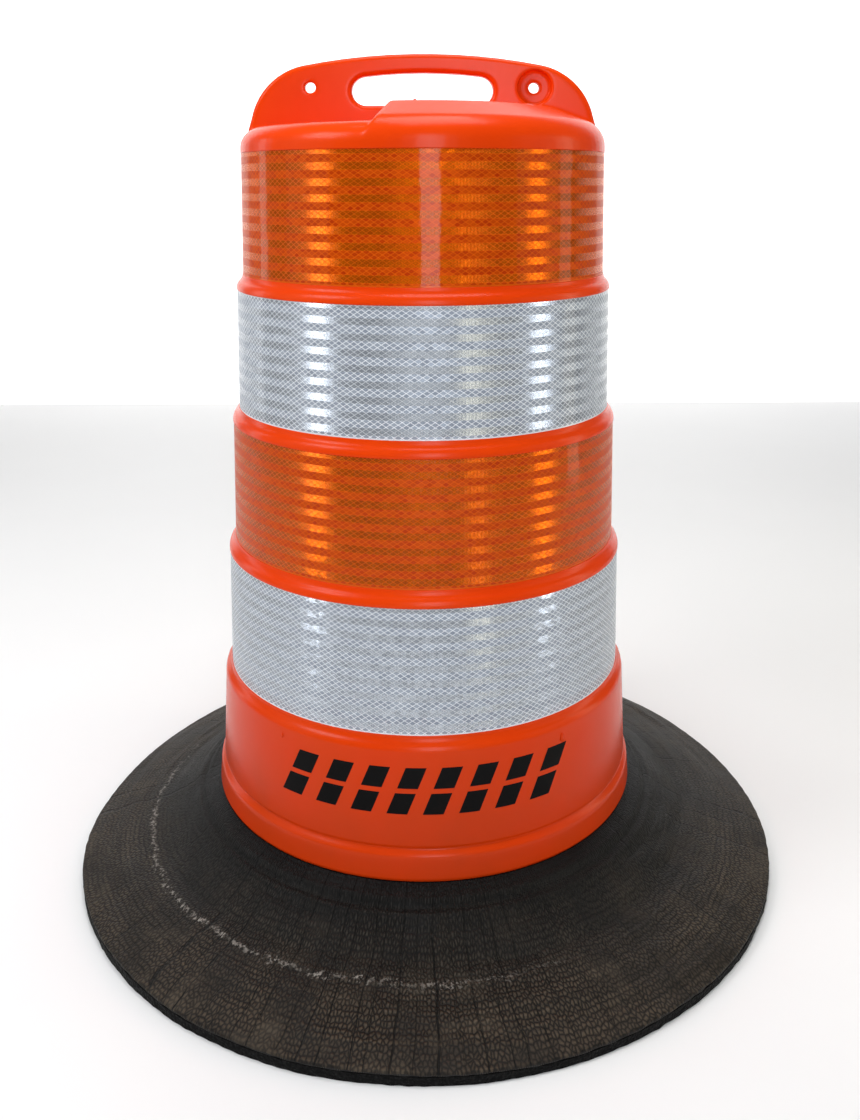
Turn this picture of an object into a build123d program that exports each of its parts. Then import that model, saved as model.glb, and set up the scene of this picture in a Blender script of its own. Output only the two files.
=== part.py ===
"""Traffic barrel drum: a stepped, open-bottomed plastic drum standing in a ballast ring.

Units are millimetres, +Z is up and the origin is on the ground on the drum's axis.
The handle fin lies along X. The drum lifts straight up out of the ring.
"""

import os
from math import radians, tan

from build123d import *

os.makedirs("parts", exist_ok=True)

# --- driving dimensions -------------------------------------------------------------------

# reflective bands: 6 in (152.4 mm) sheeting in recesses, each band one step wider
BAND_COUNT = 4
BAND_HEIGHT = 152.4
RIB_HEIGHT = 19.0
BAND_1_TOP = 929.0
BAND_1_RADIUS = 233.0
BAND_STEP = 9.2
BAND_DRAFT = 1.4
SHEET_THICKNESS = 0.5
EDGE_PROUD = 0.9
SPLICE_ANGLE = 6.0

# drum shell
WALL = 2.6
SHOULDER_FLAT_Z = 960.0
SHOULDER_RADIUS = 25.0
LOWER_WALL_RADIUS = 275.5
GROOVE_Z = 131.0
GROOVE_DEPTH = 1.8
LIP_TOP_Z = 124.0
LIP_TOP_RADIUS = 279.5
LIP_RADIUS = 282.0
LIP_BOTTOM_Z = 92.5
SKIRT_RADIUS = 276.0
SKIRT_BOTTOM_Z = 8.0

# raised half-round pads beside the handle
PAD_CREASE = (210.5, 968.0)
PAD_TOP_EDGE = (166.0, 984.5)
PAD_TOP_Z = 986.0
PAD_STEP_BOTTOM_X = -56.0
PAD_STEP_TOP_X = -37.0
PAD_STEP_ROUND = 5.0

# handle fin
FIN_THICKNESS = 26.0
FIN_TOP_Z = 1054.5
FIN_CORNER = (152.0, 1040.2)
FIN_SIDE = (220.0, 974.0)
FIN_FOOT = (229.0, 944.0)
FIN_EDGE_ROUND = 6.0
SLOT_BOTTOM = (70.5, 989.6)
SLOT_TOP = (74.5, 1026.0)
SLOT_CROWN_Z = 1030.6
HOLE_X = 143.5
HOLE_Z = 1012.0
HOLE_DIAMETER = 14.0
COUNTERBORE_DIAMETER = 44.0
COUNTERBORE_DEPTH = 10.0

# stencilled marking on the lower wall
MARK_BARS = 8
MARK_PITCH = 42.0
MARK_BAR_WIDTH = 24.0
MARK_SLANT = 22.0
MARK_BOTTOM_Z = 172.0
MARK_HEIGHT = 56.0
MARK_BRIDGE = 6.0
MARK_THICKNESS = 0.3

# ballast ring: a truck-tyre sidewall lying with its liner side up
RING_TOP = [(281.5, 92.2), (306.0, 78.0), (330.0, 60.5), (356.0, 46.0), (400.0, 34.5), (470.0, 14.0)]
RING_GROUND_INNER = 436.0
RING_UNDERSIDE = [(412.0, 9.0), (370.0, 27.0), (335.0, 38.0), (306.0, 45.0)]
BEAD_TOE_RADIUS = 278.0
BEAD_TOE_Z = 82.0
BEAD_TOE_ROUND = 3.5
BEAD_HEEL = (285.75, 52.0)
LINER_THICKNESS = 2.5
PLY_THICKNESS = 2.0
CHAFER_THICKNESS = 4.0
CORE_CENTRE = (296.0, 65.0)
CORE_RADIUS = 7.5
FILLER_TIP = (340.0, 43.0)

# --- drum shell ---------------------------------------------------------------------------


def band_top_z(index):
    """Height of the top edge of a band, counted from the top."""
    return BAND_1_TOP - index * (BAND_HEIGHT + RIB_HEIGHT)


def band_radius(index, bottom=False):
    """Outer radius of a band's sheeting at its top or bottom edge."""
    return BAND_1_RADIUS + index * BAND_STEP + (BAND_DRAFT if bottom else 0.0)


def shoulder_radius():
    """Radius of the shell's side just above the first band."""
    return band_radius(0) + EDGE_PROUD


def rib_curve(start, end):
    """Cove and round that carry the wall out to the next, wider band."""
    middle = ((start[0] + end[0]) / 2, (start[1] + end[1]) / 2)
    cove = TangentArc(start, middle, tangent=(0, -1))
    TangentArc(middle, end, tangent=cove % 1)


with BuildPart() as shell_outside:
    with BuildSketch(Plane.XZ):
        with BuildLine():
            corner_r = shoulder_radius()
            Line((0, SHOULDER_FLAT_Z), (corner_r - SHOULDER_RADIUS, SHOULDER_FLAT_Z))
            shoulder = TangentArc(
                (corner_r - SHOULDER_RADIUS, SHOULDER_FLAT_Z),
                (corner_r, SHOULDER_FLAT_Z - SHOULDER_RADIUS),
                tangent=(1, 0),
            )
            edge = shoulder @ 1
            for index in range(BAND_COUNT):
                top_z = band_top_z(index)
                bottom_z = top_z - BAND_HEIGHT
                rib_end_z = bottom_z - RIB_HEIGHT
                seat_top = (band_radius(index) - SHEET_THICKNESS, top_z)
                seat_bottom = (band_radius(index, bottom=True) - SHEET_THICKNESS, bottom_z)
                rib_start = (band_radius(index, bottom=True) + EDGE_PROUD, bottom_z)
                rib_end = (band_radius(index + 1) + EDGE_PROUD, rib_end_z + 2.0)
                Polyline(edge, (edge.X, top_z), seat_top, seat_bottom, rib_start)
                rib_curve(rib_start, rib_end)
                edge = Vector(*rib_end)
            Line(edge, (LOWER_WALL_RADIUS, GROOVE_Z + 2))
            ThreePointArc(
                (LOWER_WALL_RADIUS, GROOVE_Z + 2),
                (LOWER_WALL_RADIUS - GROOVE_DEPTH, GROOVE_Z - 1.5),
                (LIP_TOP_RADIUS - 2, LIP_TOP_Z + 1.5),
            )
            lip_crown = ThreePointArc(
                (LIP_TOP_RADIUS - 2, LIP_TOP_Z + 1.5),
                (LIP_TOP_RADIUS, LIP_TOP_Z - 1),
                (LIP_TOP_RADIUS + 0.8, LIP_TOP_Z - 5),
            )
            Polyline(
                lip_crown @ 1,
                (LIP_RADIUS, LIP_BOTTOM_Z + 3),
                (LIP_RADIUS - 1.5, LIP_BOTTOM_Z),
                (SKIRT_RADIUS, LIP_BOTTOM_Z),
                (SKIRT_RADIUS, SKIRT_BOTTOM_Z),
                (0, SKIRT_BOTTOM_Z),
                (0, SHOULDER_FLAT_Z),
            )
        make_face()
    revolve(axis=Axis.Z)

with BuildPart() as shell_inside:
    with BuildSketch(Plane.XZ):
        with BuildLine():
            inner_r = shoulder_radius() - WALL
            inner_top = SHOULDER_FLAT_Z - WALL
            round_in = SHOULDER_RADIUS - WALL
            Line((0, inner_top), (inner_r - round_in, inner_top))
            inner_shoulder = TangentArc(
                (inner_r - round_in, inner_top), (inner_r, inner_top - round_in), tangent=(1, 0)
            )
            wall_line = [inner_shoulder @ 1]
            for index in range(BAND_COUNT):
                bottom_z = band_top_z(index) - BAND_HEIGHT
                seat_r = band_radius(index, bottom=True) - SHEET_THICKNESS - WALL
                next_r = band_radius(index + 1) - SHEET_THICKNESS - WALL
                wall_line.append((seat_r - BAND_DRAFT, band_top_z(index) - WALL))
                wall_line.append((seat_r, bottom_z - WALL))
                wall_line.append((next_r, bottom_z - RIB_HEIGHT + WALL))
            wall_line.append((SKIRT_RADIUS - WALL, GROOVE_Z - 20))
            wall_line.append((SKIRT_RADIUS - WALL, SKIRT_BOTTOM_Z - 1))
            wall_line.append((0, SKIRT_BOTTOM_Z - 1))
            wall_line.append((0, inner_top))
            Polyline(*wall_line)
        make_face()
    revolve(axis=Axis.Z)


def pad_blank(inset):
    """One raised pad: the domed half top, cut off by the handle plane and by a sloping step."""
    side_r = shoulder_radius() - inset
    side_z = SHOULDER_FLAT_Z - SHOULDER_RADIUS
    crease = (PAD_CREASE[0] - inset, PAD_CREASE[1] - inset)
    top_edge = (PAD_TOP_EDGE[0] - inset, PAD_TOP_EDGE[1] - inset)
    top_z = PAD_TOP_Z - inset
    base_z = side_z - 4
    slope = (PAD_STEP_TOP_X - PAD_STEP_BOTTOM_X) / (PAD_TOP_Z - SHOULDER_FLAT_Z)
    with BuildPart() as dome:
        with BuildSketch(Plane.XZ):
            with BuildLine():
                Line((0, base_z), (side_r, base_z))
                Line((side_r, base_z), (side_r, side_z))
                bulge = (crease[0] + 0.72 * (side_r - crease[0]), side_z + 0.63 * (crease[1] - side_z))
                ThreePointArc((side_r, side_z), bulge, crease)
                Line(crease, top_edge)
                ThreePointArc(top_edge, (top_edge[0] - 10, top_z - 0.3), (top_edge[0] - 22, top_z))
                Line((top_edge[0] - 22, top_z), (0, top_z))
                Line((0, top_z), (0, base_z))
            make_face()
        revolve(axis=Axis.Z)
        with BuildSketch(Plane.XZ):
            step_x = PAD_STEP_BOTTOM_X + inset - (SHOULDER_FLAT_Z - base_z) * slope
            head_x = PAD_STEP_TOP_X + inset + 4 * slope
            with BuildLine():
                Polyline(
                    (step_x, base_z),
                    (side_r + 5, base_z),
                    (side_r + 5, PAD_TOP_Z + 4),
                    (head_x, PAD_TOP_Z + 4),
                    close=True,
                )
            make_face()
        extrude(amount=side_r + 5, mode=Mode.INTERSECT)
        step_face = faces().filter_by(GeomType.PLANE).sort_by(Axis.X)[0]
        brow = step_face.edges().filter_by(lambda edge: edge.center().Z > crease[1] - 4)
        fillet(brow, radius=PAD_STEP_ROUND)
    return dome.part


with BuildPart() as handle_fin:
    with BuildSketch(Plane.XZ):
        with BuildLine():
            left_corner = (-FIN_CORNER[0], FIN_CORNER[1])
            crown = ThreePointArc(left_corner, (0, FIN_TOP_Z), FIN_CORNER)
            side = TangentArc(FIN_CORNER, FIN_SIDE, tangent=crown % 1)
            foot = Line(side @ 1, FIN_FOOT)
            mirror(about=Plane.YZ)
            mirror(side, about=Plane.YZ)
            mirror(foot, about=Plane.YZ)
            Line((-FIN_FOOT[0], FIN_FOOT[1]), FIN_FOOT)
        make_face()
        with BuildLine():
            slot_crown = ThreePointArc((-SLOT_TOP[0], SLOT_TOP[1]), (0, SLOT_CROWN_Z), SLOT_TOP)
            slot_end = TangentArc(SLOT_TOP, SLOT_BOTTOM, tangent=slot_crown % 1)
            mirror(slot_end, about=Plane.YZ)
            Line((-SLOT_BOTTOM[0], SLOT_BOTTOM[1]), SLOT_BOTTOM)
        make_face(mode=Mode.SUBTRACT)
    extrude(amount=FIN_THICKNESS / 2, both=True)


with BuildPart() as rounded_fin:
    add(handle_fin.part)
    rims = edges().group_by(Axis.Y)
    upper_rims = ShapeList(rims[0] + rims[-1]).filter_by(lambda edge: edge.center().Z > FIN_FOOT[1] + 2)
    fillet(upper_rims, radius=FIN_EDGE_ROUND)

with BuildPart() as drum_body:
    add(shell_outside.part)
    add(pad_blank(0.0))
    add(pad_blank(0.0).rotate(Axis.Z, 180))
    add(rounded_fin.part)
    add(shell_inside.part, mode=Mode.SUBTRACT)
    add(pad_blank(WALL), mode=Mode.SUBTRACT)
    add(pad_blank(WALL).rotate(Axis.Z, 180), mode=Mode.SUBTRACT)
    for side in (-1, 1):
        hole_axis = Plane(origin=(side * HOLE_X, 0, HOLE_Z), x_dir=(1, 0, 0), z_dir=(0, -side, 0))
        with Locations(hole_axis.offset(FIN_THICKNESS / 2)):
            CounterBoreHole(HOLE_DIAMETER / 2, COUNTERBORE_DIAMETER / 2, COUNTERBORE_DEPTH, FIN_THICKNESS)
drum_body.part.label = "drum_body"
export_step(drum_body.part, "parts/drum_body.step")

# --- reflective sheeting ------------------------------------------------------------------

SHEETING_COLOURS = ["orange", "white", "orange", "white"]


def sheet_section(index, layer):
    """Corner points of the sheeting's section, layer 0 on the wall and layer 1 on layer 0."""
    top_z = band_top_z(index)
    bottom_z = top_z - BAND_HEIGHT
    outer_top = band_radius(index) + layer * SHEET_THICKNESS
    outer_bottom = band_radius(index, bottom=True) + layer * SHEET_THICKNESS
    return [
        (outer_top - SHEET_THICKNESS, top_z),
        (outer_top, top_z),
        (outer_bottom, bottom_z),
        (outer_bottom - SHEET_THICKNESS, bottom_z),
    ]


finished = []
for index, colour in enumerate(SHEETING_COLOURS):
    with BuildPart() as sheeting:
        with BuildSketch(Plane.XZ):
            with BuildLine():
                Polyline(*sheet_section(index, 0), close=True)
            make_face()
        revolve(axis=Axis.Z)
        splice_plane = Plane.XZ.rotated((0, 0, 90 - SPLICE_ANGLE / 2))
        with BuildSketch(splice_plane):
            with BuildLine():
                Polyline(*sheet_section(index, 1), close=True)
            make_face()
        revolve(axis=Axis.Z, revolution_arc=SPLICE_ANGLE)
    node_name = f"sheeting_{index + 1}_{colour}"
    sheeting.part.label = node_name
    export_step(sheeting.part, f"parts/{node_name}.step")
    finished.append(sheeting.part)

# --- stencilled marking -------------------------------------------------------------------


def lower_wall_radius(z):
    """Outer radius of the plain wall between the last rib and the groove."""
    start_r = band_radius(BAND_COUNT) + EDGE_PROUD
    start_z = band_top_z(BAND_COUNT) + 2.0
    share = (start_z - z) / (start_z - GROOVE_Z - 2)
    return start_r + share * (LOWER_WALL_RADIUS - start_r)


with BuildPart() as stencil_marking:
    mark_top_z = MARK_BOTTOM_Z + MARK_HEIGHT
    with BuildSketch(Plane.XZ):
        with BuildLine():
            Polyline(
                (lower_wall_radius(mark_top_z), mark_top_z),
                (lower_wall_radius(mark_top_z) + MARK_THICKNESS, mark_top_z),
                (lower_wall_radius(MARK_BOTTOM_Z) + MARK_THICKNESS, MARK_BOTTOM_Z),
                (lower_wall_radius(MARK_BOTTOM_Z), MARK_BOTTOM_Z),
                close=True,
            )
        make_face()
    revolve(axis=Axis.Z)
    with BuildSketch(Plane.XZ):
        slant = MARK_HEIGHT * tan(radians(MARK_SLANT)) / 2
        for bar in range(MARK_BARS):
            middle_x = (bar - (MARK_BARS - 1) / 2) * MARK_PITCH
            with BuildLine():
                Polyline(
                    (middle_x - MARK_BAR_WIDTH / 2 - slant, MARK_BOTTOM_Z - 1),
                    (middle_x + MARK_BAR_WIDTH / 2 - slant, MARK_BOTTOM_Z - 1),
                    (middle_x + MARK_BAR_WIDTH / 2 + slant, mark_top_z + 1),
                    (middle_x - MARK_BAR_WIDTH / 2 + slant, mark_top_z + 1),
                    close=True,
                )
            make_face()
        with Locations((0, MARK_BOTTOM_Z + MARK_HEIGHT / 2)):
            Rectangle(MARK_BARS * MARK_PITCH + 60, MARK_BRIDGE, mode=Mode.SUBTRACT)
    extrude(amount=LIP_RADIUS, mode=Mode.INTERSECT)
stencil_marking.part.label = "stencil_marking"
export_step(stencil_marking.part, "parts/stencil_marking.step")

# --- ballast ring -------------------------------------------------------------------------


def ring_top_edge(drop):
    """Draws the ring's domed top line, lowered by drop, from the bead out to the cut edge."""
    points = [(r, z - drop) for r, z in RING_TOP]
    return Spline(*points, tangents=[(1, -0.35), (1, -0.30)], tangent_scalars=[1, 1])


def liner_layer(upper_drop, lower_drop):
    """A strip of the ring's top face between two depths, as a solid of revolution."""
    with BuildPart() as layer:
        with BuildSketch(Plane.XZ):
            with BuildLine():
                upper = ring_top_edge(upper_drop)
                lower = ring_top_edge(lower_drop)
                Line(upper @ 0, lower @ 0)
                Line(upper @ 1, lower @ 1)
            make_face()
        revolve(axis=Axis.Z)
    return layer.part


with BuildPart() as ring_blank:
    with BuildSketch(Plane.XZ):
        with BuildLine():
            top_line = ring_top_edge(0.0)
            toe_side = (BEAD_TOE_RADIUS, RING_TOP[0][1] - BEAD_TOE_ROUND)
            TangentArc(toe_side, RING_TOP[0], tangent=(0, 1))
            Polyline(toe_side, (BEAD_TOE_RADIUS, BEAD_TOE_Z), BEAD_HEEL)
            heel = Line(BEAD_HEEL, (BEAD_HEEL[0] + 8, RING_UNDERSIDE[-1][1]))
            Line(heel @ 1, RING_UNDERSIDE[-1])
            underside = Spline(
                *reversed(RING_UNDERSIDE), (RING_GROUND_INNER, 0.0), tangents=[(1, -0.1), (1, -0.18)]
            )
            Line(underside @ 1, (RING_TOP[-1][0], 0.0))
            Line((RING_TOP[-1][0], 0.0), top_line @ 1)
        make_face()
    revolve(axis=Axis.Z)

with BuildPart() as inner_liner:
    add(liner_layer(0.0, LINER_THICKNESS))
inner_liner.part.label = "inner_liner"
export_step(inner_liner.part, "parts/inner_liner.step")

with BuildPart() as body_ply:
    add(liner_layer(LINER_THICKNESS, LINER_THICKNESS + PLY_THICKNESS))
body_ply.part.label = "body_ply"
export_step(body_ply.part, "parts/body_ply.step")

with BuildPart() as bead_core:
    with BuildSketch(Plane.XZ):
        with Locations(CORE_CENTRE):
            RegularPolygon(CORE_RADIUS, 6)
    revolve(axis=Axis.Z)
bead_core.part.label = "bead_core"
export_step(bead_core.part, "parts/bead_core.step")

with BuildPart() as bead_filler:
    with BuildSketch(Plane.XZ):
        with BuildLine():
            Polyline(
                (CORE_CENTRE[0] + 4, CORE_CENTRE[1] + CORE_RADIUS - 1),
                FILLER_TIP,
                (CORE_CENTRE[0] + 6, CORE_CENTRE[1] - CORE_RADIUS + 2),
                close=True,
            )
        make_face()
    revolve(axis=Axis.Z)
    add(bead_core.part, mode=Mode.SUBTRACT)
bead_filler.part.label = "bead_filler"
export_step(bead_filler.part, "parts/bead_filler.step")

with BuildPart() as bead_chafer:
    with BuildSketch(Plane.XZ):
        with BuildLine():
            Polyline(
                (BEAD_TOE_RADIUS, BEAD_TOE_Z),
                (BEAD_TOE_RADIUS + CHAFER_THICKNESS, BEAD_TOE_Z),
                (BEAD_HEEL[0] + CHAFER_THICKNESS, BEAD_HEEL[1]),
                BEAD_HEEL,
                close=True,
            )
        make_face()
    revolve(axis=Axis.Z)
bead_chafer.part.label = "bead_chafer"
export_step(bead_chafer.part, "parts/bead_chafer.step")

with BuildPart() as sidewall_rubber:
    add(ring_blank.part)
    add(liner_layer(0.0, LINER_THICKNESS + PLY_THICKNESS), mode=Mode.SUBTRACT)
    add(bead_core.part, mode=Mode.SUBTRACT)
    add(bead_filler.part, mode=Mode.SUBTRACT)
    add(bead_chafer.part, mode=Mode.SUBTRACT)
sidewall_rubber.part.label = "sidewall_rubber"
export_step(sidewall_rubber.part, "parts/sidewall_rubber.step")

# --- report -------------------------------------------------------------------------------

finished += [drum_body.part, stencil_marking.part, inner_liner.part, body_ply.part]
finished += [bead_core.part, bead_filler.part, bead_chafer.part, sidewall_rubber.part]
for piece in finished:
    print(piece.label, piece.is_valid, len(piece.solids()), round(piece.volume))
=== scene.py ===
"""Looks of a traffic barrel drum that stands in a ballast ring cut from a tyre sidewall.

The classes give their sizes in millimetres, as a mould maker would; make_object() turns them
into metres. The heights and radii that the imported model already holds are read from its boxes.
"""

import logging
import math
from dataclasses import dataclass, field
from enum import Enum
from functools import partial

import bmesh
import bpy
import numpy as np
from mathutils import Matrix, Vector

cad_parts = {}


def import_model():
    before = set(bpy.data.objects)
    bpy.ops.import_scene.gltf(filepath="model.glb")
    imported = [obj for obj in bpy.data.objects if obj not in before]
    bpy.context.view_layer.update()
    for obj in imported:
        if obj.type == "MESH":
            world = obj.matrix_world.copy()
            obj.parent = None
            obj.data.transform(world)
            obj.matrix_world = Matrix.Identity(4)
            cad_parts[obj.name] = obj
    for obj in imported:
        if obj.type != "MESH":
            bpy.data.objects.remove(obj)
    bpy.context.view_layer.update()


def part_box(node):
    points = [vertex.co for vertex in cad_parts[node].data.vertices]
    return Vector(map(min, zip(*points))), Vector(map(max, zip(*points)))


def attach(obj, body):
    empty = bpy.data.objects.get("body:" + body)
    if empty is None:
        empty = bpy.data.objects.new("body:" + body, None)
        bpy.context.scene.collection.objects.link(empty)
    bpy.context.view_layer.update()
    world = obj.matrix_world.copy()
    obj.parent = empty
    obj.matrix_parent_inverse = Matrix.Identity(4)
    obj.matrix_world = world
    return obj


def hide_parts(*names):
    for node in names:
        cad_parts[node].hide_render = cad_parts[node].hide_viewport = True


LOG = logging.getLogger("drum")
MM = 0.001

Point = tuple[float, float]
Line = list[Point]
Colour = tuple[float, float, float, float]


class Body(Enum):
    """The two bodies that move apart when the drum is lifted."""

    DRUM = "drum"
    RING = "ballast_ring"


class SheetColour(Enum):
    """The two colours of reflective sheeting, in the words of the CAD node names."""

    ORANGE = "orange"
    WHITE = "white"


# --- colour and node helpers ---------------------------------------------------------------


def linear(hex_colour: str) -> Colour:
    """Turns an sRGB hex colour into the linear colour that a shader works in.

    Args:
        hex_colour: Six hex digits, such as "ff8040".

    Returns:
        Linear red, green, blue and an alpha of 1.
    """
    channels = [int(hex_colour[i : i + 2], 16) / 255 for i in (0, 2, 4)]
    curve = [c / 12.92 if c <= 0.04045 else ((c + 0.055) / 1.055) ** 2.4 for c in channels]
    return (curve[0], curve[1], curve[2], 1.0)


def add_node(
    tree: bpy.types.NodeTree, kind: str, settings: dict | None = None, inputs: dict | None = None
) -> bpy.types.Node:
    """Adds a node with its settings, its socket values and its links.

    Args:
        tree: The material's node tree.
        kind: The node's type without its "ShaderNode" prefix, such as "Math".
        settings: Attributes of the node, such as {"operation": "ADD"}.
        inputs: Values or output sockets for the node's inputs, by name or by number.

    Returns:
        The new node.
    """
    node = tree.nodes.new("ShaderNode" + kind)
    for name, value in (settings or {}).items():
        setattr(node, name, value)
    for key, value in (inputs or {}).items():
        if isinstance(value, bpy.types.NodeSocket):
            tree.links.new(value, node.inputs[key])
        else:
            node.inputs[key].default_value = value
    return node


def start_material(
    name: str, **sockets: float | Colour
) -> tuple[bpy.types.Material, partial, bpy.types.Node]:
    """Starts a material with a Principled shader whose constant sockets are set directly.

    Args:
        name: The material's name.
        sockets: Shader inputs by name, with "_" for each space.

    Returns:
        The material, a function that adds nodes to its tree, and its shader node.
    """
    material = bpy.data.materials.new(name)
    material.use_nodes = True
    tree = material.node_tree
    shader = tree.nodes["Principled BSDF"]
    for key, value in sockets.items():
        shader.inputs[key.replace("_", " ")].default_value = value
    return material, partial(add_node, tree), shader


# --- line and mesh helpers -----------------------------------------------------------------


def arc(start: Point, end: Point, tangent: Point, steps: int) -> Line:
    """Points of a circular arc that leaves its start along a tangent.

    Args:
        start: First point, which the result leaves out.
        end: Last point, which the result holds.
        tangent: Unit direction at the start.
        steps: Number of points.

    Returns:
        The points after the start.
    """
    chord = math.hypot(end[0] - start[0], end[1] - start[1])
    towards = math.atan2(end[1] - start[1], end[0] - start[0])
    heading = math.atan2(tangent[1], tangent[0])
    bend = (towards - heading + math.pi) % (2 * math.pi) - math.pi
    points = []
    for step in range(1, steps + 1):
        share = step / steps
        reach = chord * math.sin(bend * share) / math.sin(bend)
        angle = heading + bend * share
        points.append((start[0] + reach * math.cos(angle), start[1] + reach * math.sin(angle)))
    return points


def rounded(before: Point, corner: Point, after: Point, radius: float, steps: int = 4) -> Line:
    """Points that round a corner off.

    Args:
        before: A point on the line into the corner.
        corner: The corner itself.
        after: A point on the line out of the corner.
        radius: Distance from the corner to where the rounding starts and ends.
        steps: Number of pieces in the rounding.

    Returns:
        The points of the rounding, both ends included.
    """
    inward = np.subtract(before, corner)
    outward = np.subtract(after, corner)
    first = np.array(corner) + inward / np.linalg.norm(inward) * radius
    last = np.array(corner) + outward / np.linalg.norm(outward) * radius
    shares = np.linspace(0, 1, steps + 1)[:, None]
    curve = (1 - shares) ** 2 * first + 2 * shares * (1 - shares) * corner + shares**2 * last
    return [tuple(point) for point in curve]


def guarded(line: Line, guard: float = 0.8, long: float = 4.0) -> Line:
    """Adds a point near both ends of each long stretch, so that its shading stays flat.

    Args:
        line: The outline's points.
        guard: Distance of the added points from the ends.
        long: Length from which a stretch gets them.

    Returns:
        The outline with the added points.
    """
    result = [line[0]]
    for start, end in zip(line, line[1:]):
        length = math.dist(start, end)
        if length > long:
            for share in (guard / length, 1 - guard / length):
                across = start[0] + share * (end[0] - start[0])
                along = start[1] + share * (end[1] - start[1])
                result.append((across, along))
        result.append(end)
    return result


def smooth_line(points: Line, first_slope: float, last_slope: float, at: np.ndarray) -> np.ndarray:
    """Heights of a cubic spline through points, with set slopes at its ends.

    Args:
        points: (radius, height) pairs in order of radius.
        first_slope: Slope at the first point.
        last_slope: Slope at the last point.
        at: Radii to read the spline at.

    Returns:
        A height for each radius.
    """
    radii, heights = np.array(points).T
    gaps = np.diff(radii)
    steps = np.diff(heights) / gaps
    count = len(points)
    system = np.eye(count)
    slopes = np.zeros(count)
    slopes[0], slopes[-1] = first_slope, last_slope
    for k in range(1, count - 1):
        system[k, k - 1 : k + 2] = (gaps[k], 2 * (gaps[k - 1] + gaps[k]), gaps[k - 1])
        slopes[k] = 3 * (gaps[k] * steps[k - 1] + gaps[k - 1] * steps[k])
    slopes = np.linalg.solve(system, slopes)
    inside = np.clip(at, radii[0], radii[-1])
    span = np.clip(np.searchsorted(radii, inside, side="right") - 1, 0, count - 2)
    t = (inside - radii[span]) / gaps[span]
    value = heights[span] * (1 + 2 * t) * (1 - t) ** 2 + slopes[span] * gaps[span] * t * (1 - t) ** 2
    value += heights[span + 1] * t**2 * (3 - 2 * t) + slopes[span + 1] * gaps[span] * t**2 * (t - 1)
    return value


def ripple(angles: np.ndarray, seed: int, lowest: int, highest: int) -> np.ndarray:
    """A closed random wave around a ring, between about -1 and 1.

    Args:
        angles: Angles in radians.
        seed: Seed of the wave's phases.
        lowest: Fewest waves in a turn.
        highest: Most waves in a turn.

    Returns:
        The wave's value at each angle.
    """
    phases = np.random.default_rng(seed).uniform(0, 2 * math.pi, highest - lowest + 1)
    total = sum(np.cos(waves * angles + phases[waves - lowest]) for waves in range(lowest, highest + 1))
    return total / math.sqrt(len(phases) * 1.5)


def make_mesh(
    name: str,
    points: np.ndarray,
    closed_section: bool,
    closed_turn: bool,
    uv: tuple | None = None,
) -> bpy.types.Mesh:
    """Makes a mesh from a grid of points that runs along a section and around a turn.

    Args:
        name: The mesh's name.
        points: Array of (section point, turn step, x y z) in millimetres.
        closed_section: Whether the last section point joins the first.
        closed_turn: Whether the last turn step joins the first. An open turn gets end caps.
        uv: Optional (u at each turn step, v at each section point), with one more u for a closed turn.

    Returns:
        The mesh, in metres.
    """
    rows, columns = points.shape[:2]
    row = np.arange(rows if closed_section else rows - 1)
    column = np.arange(columns if closed_turn else columns - 1)
    r, c = (grid.ravel() for grid in np.meshgrid(row, column, indexing="ij"))
    corners = [(r, c), (r, c + 1), (r + 1, c + 1), (r + 1, c)]
    index = [(a % rows) * columns + b % columns for a, b in corners]
    faces = np.stack(index, axis=1).tolist()
    if closed_section and not closed_turn:
        faces.append([k * columns for k in range(rows)][::-1])
        faces.append([k * columns + columns - 1 for k in range(rows)])
    mesh = bpy.data.meshes.new(name)
    mesh.from_pydata((points.reshape(-1, 3) * MM).tolist(), [], faces)
    if uv is not None:
        along = np.stack([np.asarray(uv[0])[b] for _, b in corners], axis=1)
        up = np.stack([np.asarray(uv[1])[a % rows] for a, _ in corners], axis=1)
        loops = np.zeros((len(mesh.loops), 2))
        loops[: 4 * len(r)] = np.stack([along, up], axis=2).reshape(-1, 2)
        mesh.uv_layers.new(name="pattern").data.foreach_set("uv", loops.ravel())
    return mesh


def make_object(
    mesh: bpy.types.Mesh, material: bpy.types.Material, body: Body, sharp: float = 35.0
) -> bpy.types.Object:
    """Makes a shaded piece that rides on a body.

    Args:
        mesh: The piece's mesh, whose name the piece takes.
        material: Its finish.
        body: The body that it moves with.
        sharp: Angle in degrees from which an edge between two faces stays sharp.

    Returns:
        The piece.
    """
    check = bmesh.new()
    check.from_mesh(mesh)
    bmesh.ops.recalc_face_normals(check, faces=check.faces)
    check.to_mesh(mesh)
    check.free()
    mesh.shade_smooth()
    mesh.set_sharp_from_angle(angle=math.radians(sharp))
    mesh.materials.append(material)
    piece = bpy.data.objects.new(mesh.name, mesh)
    bpy.context.scene.collection.objects.link(piece)
    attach(piece, body.value)
    LOG.info("%s: %d faces", piece.name, len(mesh.polygons))
    return piece


def spin(line: Line, angles: np.ndarray, swell: np.ndarray | None = None) -> np.ndarray:
    """Turns an outline around the drum's axis.

    Args:
        line: (radius, height) points.
        angles: Angles in radians, 0 along +X.
        swell: Optional radius to add at each outline point and angle.

    Returns:
        Array of (outline point, angle, x y z).
    """
    radii = np.array(line)[:, :1] + (0 if swell is None else swell)
    radii = np.broadcast_to(radii, (len(line), len(angles)))
    heights = np.broadcast_to(np.array(line)[:, 1:], radii.shape)
    return np.stack([radii * np.cos(angles), radii * np.sin(angles), heights], axis=2)


# --- finishes ------------------------------------------------------------------------------


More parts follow.
